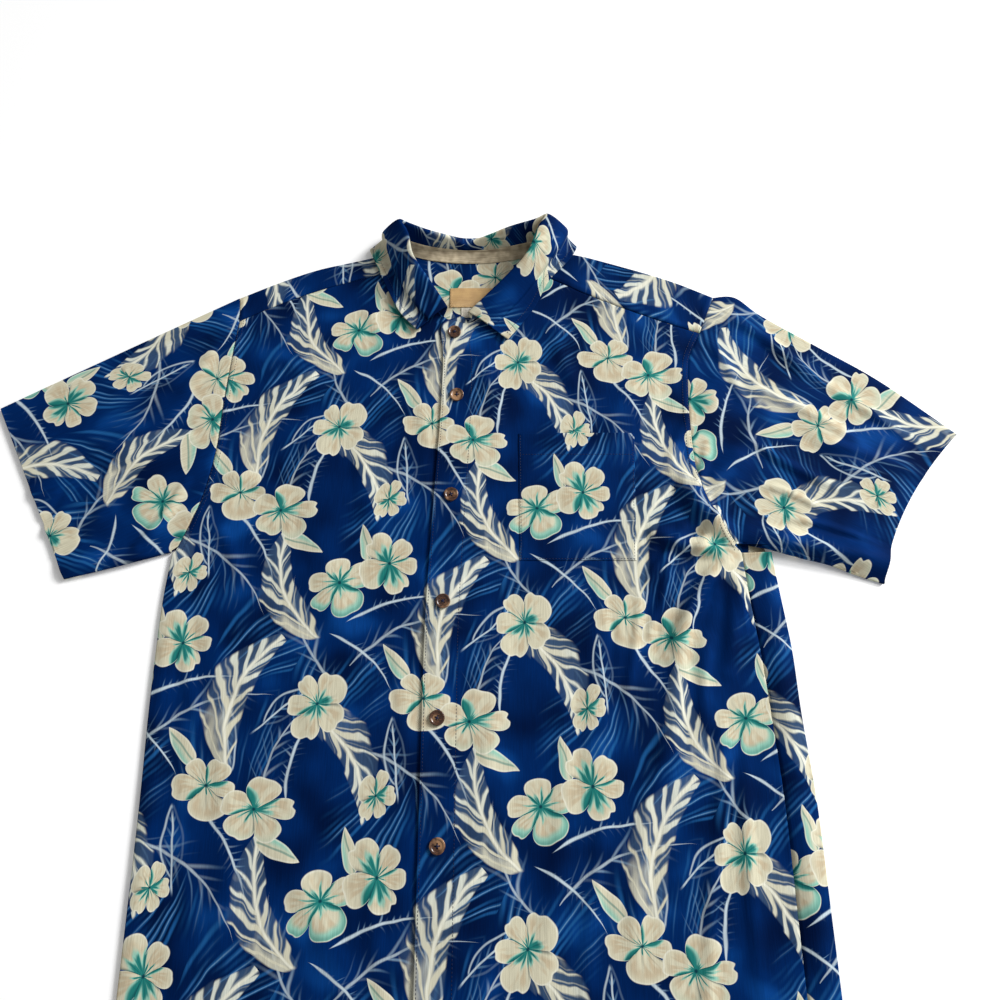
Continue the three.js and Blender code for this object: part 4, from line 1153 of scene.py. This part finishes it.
def palm_group():
    """A fan of long soft strokes like a palm in shadow; it opens along x from its left end"""
    brush, enter, finish = new_group("shadowed_palm", MOTIF_IN, MOTIF_OUT)
    math_, step = brush.math, brush.step
    x, y, seed = brush.split(enter["Place"])
    along = math_("ADD", x, 1.4)
    droop = math_("MULTIPLY_ADD", math_("MULTIPLY", along, along), 0.22, math_("SUBTRACT", y, 0.3))
    angle = math_("ARCTAN2", droop, along)
    phase = math_("MULTIPLY", angle, 15.0)
    stroke = math_("FLOOR", phase)
    place = math_("SUBTRACT", phase, stroke)
    start_chance, end_chance, light_chance = brush.chance(brush.combine(stroke, seed, 5.0))
    start = math_("MULTIPLY_ADD", start_chance, 0.9, 0.4)
    end = math_("MULTIPLY_ADD", end_chance, 0.9, 1.4)
    length = math_("MULTIPLY", step(along, start, math_("ADD", start, 0.5)), step(along, end, math_("SUBTRACT", end, 0.7)))
    profile = step(math_("ABSOLUTE", math_("SUBTRACT", place, 0.5)), 0.45, 0.05)
    near = step(brush.vector("LENGTH", brush.combine(x, y)), 1.0, 0.6)
    mask = math_("MULTIPLY", math_("MULTIPLY", length, profile), near)
    hair = math_("MULTIPLY", step(math_("ABSOLUTE", math_("SUBTRACT", place, 0.45)), 0.16, 0.0), step(light_chance, 0.45, 0.9))
    color = brush.paint(math_("MULTIPLY", hair, 0.9), ROYAL, MIST)
    return finish(Color=color, Mask=mask)


def small_leaf_group():
    """A small leaf drawn as a pale outline with a midrib and a few strokes"""
    brush, enter, finish = new_group("outlined_leaf", MOTIF_IN, MOTIF_OUT)
    math_, step = brush.math, brush.step
    x, y, _ = brush.split(enter["Place"])
    side = math_("ABSOLUTE", y)
    half = math_("MULTIPLY", math_("SUBTRACT", 1.0, math_("MULTIPLY", x, x)), math_("MULTIPLY_ADD", x, -0.3, 0.85))
    half = math_("MAXIMUM", half, 0.01)
    rim = step(math_("ABSOLUTE", math_("SUBTRACT", half, side)), 0.15, 0.03)
    rim = math_("MULTIPLY", rim, math_("MULTIPLY_ADD", math_("GREATER_THAN", y, 0.0), 0.7, 0.3))
    within = step(math_("ABSOLUTE", x), 1.02, 0.9)
    rim = math_("MULTIPLY", rim, within)
    stalk = math_("MULTIPLY", step(side, 0.12, 0.04), step(math_("ABSOLUTE", math_("ADD", x, 0.3)), 1.2, 0.9))
    wave = math_("SINE", math_("MULTIPLY_ADD", x, 16.0, math_("MULTIPLY", side, -9.0)))
    strokes = math_("MULTIPLY", math_("MULTIPLY", step(wave, 0.4, 1.0), step(side, half, 0.0)), within)
    mask = math_("MAXIMUM", math_("MAXIMUM", math_("MULTIPLY", rim, 0.8), stalk), math_("MULTIPLY", strokes, 0.8))
    color = brush.paint(math_("MAXIMUM", stalk, rim), MIST, PALE_MIST)
    return finish(Color=color, Mask=math_("MULTIPLY", mask, step(side, 1.1, 1.0)))


def bud_group():
    """A pointed cream bud with a teal side"""
    brush, enter, finish = new_group("pointed_bud", MOTIF_IN, MOTIF_OUT)
    math_, step = brush.math, brush.step
    x, y, _ = brush.split(enter["Place"])
    half = math_("MULTIPLY", math_("POWER", math_("SUBTRACT", 1.0, x), 0.9), math_("POWER", math_("ADD", 1.0, x), 0.45))
    half = math_("MULTIPLY", half, 0.82)
    inside = math_("SUBTRACT", half, math_("ABSOLUTE", y))
    mask = math_("MULTIPLY", step(inside, -0.02, 0.05), step(math_("ABSOLUTE", x), 1.0, 0.98))
    color = brush.paint(step(y, -0.1, 0.7), CREAM, PALE_TEAL)
    fold = math_("ABSOLUTE", math_("SUBTRACT", y, math_("MULTIPLY", x, 0.25)))
    color = brush.paint(math_("MULTIPLY", step(fold, 0.16, 0.03), 0.6), color, TEAL)
    color = brush.paint(math_("MULTIPLY", step(inside, 0.25, 0.05), 0.7), color, PETAL_RIM)
    return finish(Color=color, Mask=mask)


def nearest_motif(brush, cell, motifs):
    """Place on the nearest of the motifs: along it, across it, both in its sizes, and its seed"""
    best, least = None, None
    for x, y, degrees, half_length, half_width, seed in motifs:
        angle = math.radians(degrees)
        c, s = math.cos(angle), math.sin(angle)
        centre = (x / REPEAT_ACROSS, (y - x * REPEAT_RISE / REPEAT_ACROSS) / REPEAT_UP, 0)
        offset = brush.vector("SUBTRACT", cell, centre)
        offset = brush.vector("WRAP", offset, (0.5, 0.5, 0.5), (-0.5, -0.5, -0.5))
        along = (REPEAT_ACROSS * c + REPEAT_RISE * s, REPEAT_UP * s, 0)
        over = (-REPEAT_ACROSS * s + REPEAT_RISE * c, REPEAT_UP * c, 0)
        along = brush.vector("DOT_PRODUCT", offset, tuple(k / half_length for k in along))
        over = brush.vector("DOT_PRODUCT", offset, tuple(k / half_width for k in over))
        far = brush.vector("LENGTH", brush.combine(along, over))
        place = brush.combine(along, over, seed)
        if best is None:
            best, least = place, far
            continue
        closer = brush.math("LESS_THAN", far, least)
        best = brush.choose(closer, best, place)
        least = brush.math("MINIMUM", far, least)
    return best


def floral_print_group():
    """The whole print, from a place on the cloth in metres to its colour"""
    brush, enter, finish = new_group("floral_print", [("Cloth", VECTOR, (0, 0, 0))], [("Color", COLOR)])
    place = brush.vector("MULTIPLY", enter["Cloth"], (1000, 1000, 0))
    # One soft noise makes every outline hand-drawn
    push = brush.vector("SUBTRACT", brush.noise(place, 0.03, 1.0, output=1), (0.5, 0.5, 0.5))
    drawn = brush.node("ShaderNodeVectorMath", {0: push, 1: (7, 7, 0), 2: place}, operation="MULTIPLY_ADD")
    x, y, _ = brush.split(drawn)
    a = brush.math("DIVIDE", x, REPEAT_ACROSS)
    b = brush.math("DIVIDE", brush.math("MULTIPLY_ADD", x, -REPEAT_RISE / REPEAT_ACROSS, y), REPEAT_UP)
    cell = brush.combine(a, b)
    cloud = brush.noise(drawn, 0.016, 1.0)
    color = brush.paint(brush.step(cloud, 0.3, 0.62), DEEP_NAVY, NAVY)
    color = brush.paint(brush.step(cloud, 0.58, 0.76), color, BRIGHT_NAVY)
    flower, leaf, frond, palm = flower_group(), striped_leaf_group(), frond_group(), palm_group()
    small_leaf, bud = small_leaf_group(), bud_group()
    layers = [
        (palm, PALMS, 1.0, {}),
        (frond, FRONDS, 0.68, {"Strokes": 4.5, "Rib": 0.04}),
        (small_leaf, SMALL_LEAVES, 0.85, {}),
        (frond, TWIGS, 1.0, {"Strokes": 8.0, "Slant": 1.2, "Rib": 0.1, "Far side": 0.25}),
        (leaf, STRIPED_LEAVES, 1.0, {}),
        (bud, BUDS, 1.0, {}),
        (flower, LOWER_FLOWERS, 1.0, {}),
        (flower, UPPER_FLOWERS, 1.0, {}),
    ]
    for motif, motifs, strength, values in layers:
        motif_color, mask = brush.group(motif, {"Place": nearest_motif(brush, cell, motifs), **values})
        if strength < 1:
            mask = brush.math("MULTIPLY", mask, strength)
        color = brush.paint(mask, color, motif_color)
    return finish(Color=color)


def weave_group():
    """A fine rib with slubs: a height for bumps and a shade for the colour"""
    brush, enter, finish = new_group("ribbed_weave", [("Cloth", VECTOR, (0, 0, 0))], [("Height", FLOAT), ("Shade", FLOAT)])
    place = brush.vector("MULTIPLY", enter["Cloth"], (1000, 1000, 0))
    slub = brush.noise(brush.vector("MULTIPLY", place, (0.9, 0.045, 0)), 1.0, 2.0)
    x, y, _ = brush.split(place)
    warp = brush.math("SINE", brush.math("MULTIPLY", x, 2 * math.pi / 0.9))
    weft = brush.math("SINE", brush.math("MULTIPLY", y, 2 * math.pi / 0.7))
    threads = brush.math("MULTIPLY_ADD", warp, 0.25, brush.math("MULTIPLY", weft, 0.12))
    height = brush.math("ADD", threads, brush.math("MULTIPLY", slub, 1.6))
    shade = brush.step(slub, 0.25, 0.75)
    return finish(Height=height, Shade=shade)


FLORAL_PRINT = floral_print_group()
WEAVE = weave_group()


def cloth_place(brush):
    node = brush.tree.nodes.new("ShaderNodeUVMap")
    node.uv_map = "cloth"
    return node.outputs[0]


def new_material(name, roughness, **values):
    material = bpy.data.materials.new(name)
    material.use_nodes = True
    shader = material.node_tree.nodes["Principled BSDF"]
    shader.inputs["Roughness"].default_value = roughness
    for label, value in values.items():
        shader.inputs[label.replace("_", " ")].default_value = value
    return material, Brush(material.node_tree), shader.inputs


def printed_cloth():
    material, brush, shader = new_material("printed_cloth", 0.72)
    shader["Specular IOR Level"].default_value = 0.02
    place = cloth_place(brush)
    color = brush.group(FLORAL_PRINT, {"Cloth": place})["Color"]
    height, shade = brush.group(WEAVE, {"Cloth": place})
    tone = brush.math("MULTIPLY_ADD", shade, 0.22, 0.86)
    toned = brush.vector("SCALE", color)
    toned.node.inputs["Scale"].default_value = 1.0
    brush.tree.links.new(tone, toned.node.inputs["Scale"])
    brush.tree.links.new(toned, shader["Base Color"])
    bump = brush.node("ShaderNodeBump", {"Height": height, "Strength": 0.5, "Distance": 0.00012})
    brush.tree.links.new(bump, shader["Normal"])
    return material


PRINT = printed_cloth()


def plain_thread(name, color):
    """Thread of a plain colour, lighter and darker along the seam"""
    material, brush, shader = new_material(name, 0.55)
    place = brush.tree.nodes.new("ShaderNodeTexCoord").outputs["Object"]
    patchy = brush.noise(place, 900.0, 1.0)
    darker = tuple(c * 0.55 for c in color[:3]) + (1.0,)
    brush.tree.links.new(brush.paint(patchy, darker, color), shader["Base Color"])
    return material


def trim_material(name, light, dark, warp_pitch, weft_pitch, roughness, sheen):
    """Woven trim: a twill of two thread colours, a little worn"""
    material, brush, shader = new_material(name, roughness, Sheen_Weight=sheen)
    place = brush.vector("MULTIPLY", cloth_place(brush), (1000, 1000, 0))
    x, y, _ = brush.split(place)
    slant = brush.math("ADD", brush.math("MULTIPLY", x, 2 * math.pi / warp_pitch),
                       brush.math("MULTIPLY", y, 2 * math.pi / weft_pitch))
    twill = brush.step(brush.math("SINE", slant), -0.8, 0.8)
    mottle = brush.noise(brush.vector("MULTIPLY", place, (0.12, 0.1, 0)), 1.0, 1.0)
    lines = brush.noise(brush.vector("MULTIPLY", place, (0.04, 1.1, 0)), 1.0, 1.0)
    tone = brush.math("MULTIPLY_ADD", twill, 0.15, brush.math("MULTIPLY", brush.step(mottle, 0.3, 0.7), 0.5))
    tone = brush.math("MULTIPLY_ADD", brush.step(lines, 0.35, 0.65), 0.35, tone)
    brush.tree.links.new(brush.paint(tone, dark, light), shader["Base Color"])
    height = brush.math("ADD", twill, mottle)
    bump = brush.node("ShaderNodeBump", {"Height": height, "Strength": 0.6, "Distance": 0.00015})
    brush.tree.links.new(bump, shader["Normal"])
    return material


def shell_button_material():
    """Polished coconut shell: dark grain with paler streaks and specks, and paler tan patches that are partly the
    shell's own tone and partly a painted highlight on each button's lit side
    """
    material, brush, shader = new_material("coconut_shell", 0.32, Coat_Weight=0.35, Coat_Roughness=0.2)
    place = brush.tree.nodes.new("ShaderNodeTexCoord").outputs["Object"]
    # The tan patch is partly the shell's own tone and partly a painted highlight: it stands in for the side of each
    # button that the light falls on
    patch = brush.noise(place, 95.0, 2.0)
    grain = brush.noise(brush.vector("MULTIPLY", place, (420, 1500, 600)), 1.0, 3.0)
    speck = brush.noise(place, 2600.0, 1.0)
    color = brush.paint(brush.step(grain, 0.35, 0.7), dye(38, 20, 12), dye(92, 56, 34))
    color = brush.paint(brush.math("MULTIPLY", brush.step(patch, 0.46, 0.66), 0.85), color, dye(164, 124, 88))
    color = brush.paint(brush.math("MULTIPLY", brush.step(speck, 0.62, 0.7), 0.5), color, dye(24, 12, 8))
    brush.tree.links.new(color, shader["Base Color"])
    brush.tree.links.new(brush.between(grain, 0.22, 0.45), shader["Roughness"])
    bump = brush.node("ShaderNodeBump", {"Height": grain, "Strength": 0.35, "Distance": 0.0001})
    brush.tree.links.new(bump, shader["Normal"])
    return material


NAVY_THREAD = plain_thread("navy_thread", dye(4, 18, 66))
TAN_THREAD = plain_thread("tan_thread", dye(150, 128, 96))
TAPE_WEAVE = trim_material("tape_twill", dye(214, 199, 168), dye(136, 120, 96), 1.6, 1.9, 0.8, 0.05)
LABEL_WEAVE = trim_material("label_satin", dye(204, 166, 108), dye(180, 142, 90), 0.5, 0.8, 0.5, 0.1)
TAB_WEAVE = trim_material("tab_satin", dye(214, 208, 192), dye(178, 170, 152), 0.5, 0.8, 0.55, 0.1)
SHELL_BROWN = shell_button_material()

# Cloth pieces: name, panel, thickness, material, slot, flat width and length and area of the
# cut in metres, how it is held, and what it rests on
CLOTH_PIECES = [
    ("front_right", under_front, SHELL, PRINT, "print_cloth", (0.34, 0.77), 0.218, "laid", ["back"]),
    ("front_left", over_front, SHELL, PRINT, "print_cloth", (0.36, 0.77), 0.228, "laid", ["back", "front_right"]),
    ("back", back, SHELL, PRINT, "print_cloth", (0.69, 0.69), 0.415, "laid", ["floor"]),
    ("yoke", yoke, SHELL, PRINT, "print_cloth", (0.56, 0.18), 0.0645, "folded", ["back"]),
    ("sleeve_right", sleeve_right, SHELL, PRINT, "print_cloth", (0.6, 0.28), 0.106, "folded", ["back"]),
    ("sleeve_left", sleeve_left, SHELL, PRINT, "print_cloth", (0.6, 0.28), 0.106, "folded", ["back"]),
    ("collar", collar, COLLAR_SHELL, PRINT, "print_cloth", (0.5, 0.1), 0.0435, "folded", ["yoke"]),
    ("pocket", pocket, SHELL, PRINT, "print_cloth", (0.124, 0.14), None, "laid", ["front_left"]),
    ("neck_tape", tape, 0.5, TAPE_WEAVE, "tape_cloth", (0.16, 0.018), None, "folded", ["yoke"]),
]

for node, panel, thickness, material, slot, flat, area, held, rests_on in CLOTH_PIECES:
    piece = panel.build(node + "_cloth", thickness)
    piece.data.materials.append(material)
    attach(piece, "root")
    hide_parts(node)
for node, panel, thickness, material, slot, flat, area, held, rests_on in CLOTH_PIECES:
    under = [name for name in rests_on if name != "floor"]


def add_trim(name, node, left, right, bottom, top, material):
    """A woven label or tab on the inside of the back yoke"""
    grid = make_patch(left, right, bottom, top, 0, back_height, 0.95, 1.5, (0.4, 1.0), 18.0)
    piece = Panel(grid, flat_rows_uv(grid, 0)).build(name, 0.45)
    piece.data.materials.append(material)
    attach(piece, "root")
    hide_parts(node)
    return Panel(grid, flat_rows_uv(grid, 0))


label = add_trim("woven_label", "label", LABEL_LEFT, LABEL_RIGHT, LABEL_BOTTOM, LABEL_TOP, LABEL_WEAVE)
size_tab = add_trim("plain_size_tab", "size_tab", TAB_LEFT, TAB_RIGHT, TAB_BOTTOM, TAB_TOP, TAB_WEAVE)


def sew(name, lines, material, slot="print_cloth", **sizes):
    piece = stitches(name, lines, **sizes)
    piece.data.materials.append(material)
    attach(piece, "root")


below_neck = int(np.searchsorted(over_front.points[:, 0, 1], 440))
left_strip = int(np.searchsorted(yoke_t, NECK_LEFT - 1e-6))
right_strip = int(np.searchsorted(yoke_t, NECK_RIGHT - 1e-6))
leaf_columns = collar.points.shape[1] * 6 // 10
DOUBLE_ROW = (1.8, 6.6)
sew("left_front_stitches", [
    over_front.beside("first column", 2.2, last=below_neck),
    over_front.beside("first column", 33.2, last=below_neck),
    over_front.beside("first row", 19.2),
], NAVY_THREAD)
sew("left_armhole_stitches", [
    over_front.beside("last column", far, first=over_body_rows) for far in DOUBLE_ROW
], NAVY_THREAD)
sew("right_front_stitches", [under_front.beside("first row", 19.2)], NAVY_THREAD)
sew("right_armhole_stitches", [
    under_front.beside("first column", far, first=body_count) for far in DOUBLE_ROW
], NAVY_THREAD)
sew("back_hem_stitches", [back.beside("first row", 19.2)], NAVY_THREAD)
sew("yoke_stitches", [
    yoke.beside("last column", far, first=first, last=last)
    for far in DOUBLE_ROW for first, last in ((0, left_strip), (right_strip, None))
], NAVY_THREAD)
sew("sleeve_hem_stitches", [
    sleeve.beside("last row", 28.2) for sleeve in (sleeve_right, sleeve_left)
], NAVY_THREAD)
sew("collar_stitches", [
    collar.beside("last column", 6, first=2, last=-2, rise=COLLAR_SHELL / 2),
    collar.beside("first row", 6, first=leaf_columns, rise=COLLAR_SHELL / 2),
    collar.beside("last row", 6, first=leaf_columns, rise=COLLAR_SHELL / 2),
], NAVY_THREAD)
sew("pocket_stitches", [
    pocket.beside("first column", 1.8), pocket.beside("last column", 1.8),
    pocket.beside("first row", 1.8), pocket.beside("last row", 24),
], NAVY_THREAD)
sew("tape_stitches", [
    tape.beside("first column", 1.3, rise=0.25), tape.beside("last column", 1.3, rise=0.25),
], TAN_THREAD, "tape_cloth", pitch=2.6, length=1.9, width=0.4)
sew("label_stitches", [
    label.beside("first column", 1.0, rise=0.22), label.beside("last column", 1.0, rise=0.22),
], TAN_THREAD, "label_cloth", pitch=2.0, length=1.5, width=0.35)


def button_surface(x, y):
    """Height of the over front's surface at a button"""
    return float(over_height(np.array(x, float), np.array(y, float))) + SHELL / 2


def buttonholes():
    """Short threads across a slim slit under each button"""
    lines = []
    for x, y in BUTTON_PLACES[1:]:
        for side in (-1.1, 1.1):
            for k in range(24):
                at = y - 9.2 + k * 0.8
                z = button_surface(x, at) + 0.05
                lines.append(np.array([[x + side - 0.8, at, z, 0, 0, 1], [x + side + 0.8, at, z, 0, 0, 1]], float))
    return lines


sew("buttonhole_threads", buttonholes(), NAVY_THREAD, pitch=1.59, length=1.6, width=0.5, height=0.25)


def only_selected(piece):
    bpy.ops.object.select_all(action="DESELECT")
    piece.select_set(True)
    bpy.context.view_layer.objects.active = piece


def select_faces(piece, wanted):
    """In edit mode, only the faces for which wanted(face) holds"""
    bpy.ops.mesh.select_mode(type="FACE")
    bpy.ops.mesh.select_all(action="DESELECT")
    bpy.ops.object.mode_set(mode="OBJECT")
    for face in piece.data.polygons:
        face.select = wanted(face)
    bpy.ops.object.mode_set(mode="EDIT")


def make_button(number, x, y, turn):
    """A round shell button with a raised rim, a shallow dish and four holes"""
    bottom = button_surface(x, y) + 0.2
    centre = Vector(np.array([x, y, bottom + 1.3]) / 1000 + ORIGIN)
    bpy.ops.object.select_all(action="DESELECT")
    bpy.ops.mesh.primitive_cylinder_add(vertices=40, radius=0.0074, depth=0.0026, location=centre)
    button = bpy.context.object
    button.name = f"shell_button_{number}"
    only_selected(button)
    bpy.ops.object.mode_set(mode="EDIT")
    select_faces(button, lambda face: face.normal.z > 0.9)
    bpy.ops.mesh.inset(thickness=0.0016)
    bpy.ops.mesh.inset(thickness=0.0009, depth=-0.0007)
    bpy.ops.object.mode_set(mode="OBJECT")
    bevel = button.modifiers.new("worn_edges", "BEVEL")
    bevel.width = 0.00045
    bevel.segments = 3
    bevel.angle_limit = math.radians(30)
    bpy.ops.object.modifier_apply(modifier=bevel.name)
    for k in range(4):
        angle = turn + math.pi / 4 + k * math.pi / 2
        at = centre + Vector((0.0019 * math.cos(angle), 0.0019 * math.sin(angle), 0))
        bpy.ops.object.select_all(action="DESELECT")
        bpy.ops.mesh.primitive_cylinder_add(vertices=12, radius=0.00085, depth=0.008, location=at)
        drill = bpy.context.object
        only_selected(button)
        hole = button.modifiers.new("hole", "BOOLEAN")
        hole.operation = "DIFFERENCE"
        hole.object = drill
        bpy.ops.object.modifier_apply(modifier=hole.name)
        bpy.data.objects.remove(drill)
    only_selected(button)
    bpy.ops.object.transform_apply(location=True, rotation=True, scale=True)
    bpy.ops.object.shade_smooth_by_angle(angle=math.radians(35))
    button.data.materials.append(SHELL_BROWN)
    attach(button, "root")
    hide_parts(f"button_{number}")
    bars = []
    for k in (0, 1):
        angle = turn + math.pi / 4 + k * math.pi / 2
        dx, dy = 2.1 * math.cos(angle), 2.1 * math.sin(angle)
        z = bottom + 1.95 + 0.35 * k
        for off in (-0.3, 0.3):
            ox, oy = -off * math.sin(angle), off * math.cos(angle)
            bars.append(np.array([[x + ox - dx, y + oy - dy, z, 0, 0, 1], [x + ox + dx, y + oy + dy, z, 0, 0, 1]]))
    return bars


button_threads = []
for number, (x, y) in enumerate(BUTTON_PLACES, 1):
    button_threads += make_button(number, x, y, 0.4 * number)
sew("button_threads", button_threads, NAVY_THREAD, "button_shell", pitch=4.1, length=4.4, width=0.55, height=0.5)

camera_data = bpy.data.cameras.new("camera")
camera_data.lens = 27
camera_data.sensor_width = 36
camera = bpy.data.objects.new("camera", camera_data)
bpy.context.scene.collection.objects.link(camera)
camera.location = Vector(ORIGIN) + Vector((0, 0, 0.7506))
camera.rotation_euler = (math.radians(17.5), 0, 0)
bpy.context.scene.camera = camera

bpy.ops.mesh.primitive_plane_add(size=8, location=(0, 0, -0.0005))
floor = bpy.context.object
floor.name = "floor"
floor_paint, _, _ = new_material("pale_floor", 0.95)
floor_paint.node_tree.nodes["Principled BSDF"].inputs["Base Color"].default_value = (0.98, 0.98, 0.98, 1)
floor_paint.node_tree.nodes["Principled BSDF"].inputs["Specular IOR Level"].default_value = 0.0
floor_paint.node_tree.nodes["Principled BSDF"].inputs["Emission Color"].default_value = (1, 1, 1, 1)
floor_paint.node_tree.nodes["Principled BSDF"].inputs["Emission Strength"].default_value = 0.09
floor.data.materials.append(floor_paint)
def aim(lamp, at):
    lamp.rotation_euler = (Vector(at) - lamp.location).to_track_quat("-Z", "Y").to_euler()
    bpy.context.scene.collection.objects.link(lamp)


sky_data = bpy.data.lights.new("soft_sun", "SUN")
sky_data.energy = 3.3
sky_data.angle = math.radians(15)
sky = bpy.data.objects.new("soft_sun", sky_data)
sky.location = (1.65, 1.15, 1.02)
aim(sky, (0, 0, 0))
window_data = bpy.data.lights.new("window", "AREA")
window_data.energy = 13
window_data.size = 0.9
window = bpy.data.objects.new("window", window_data)
window.location = (1.15, 0.5, 0.95)
aim(window, (0.3, 0, 0))
bpy.context.scene.view_settings.view_transform = "Standard"
world = bpy.data.worlds.new("studio")
world.use_nodes = True
world.node_tree.nodes["Background"].inputs["Color"].default_value = (1, 1, 1, 1)
world.node_tree.nodes["Background"].inputs["Strength"].default_value = 0.32
bpy.context.scene.world = world
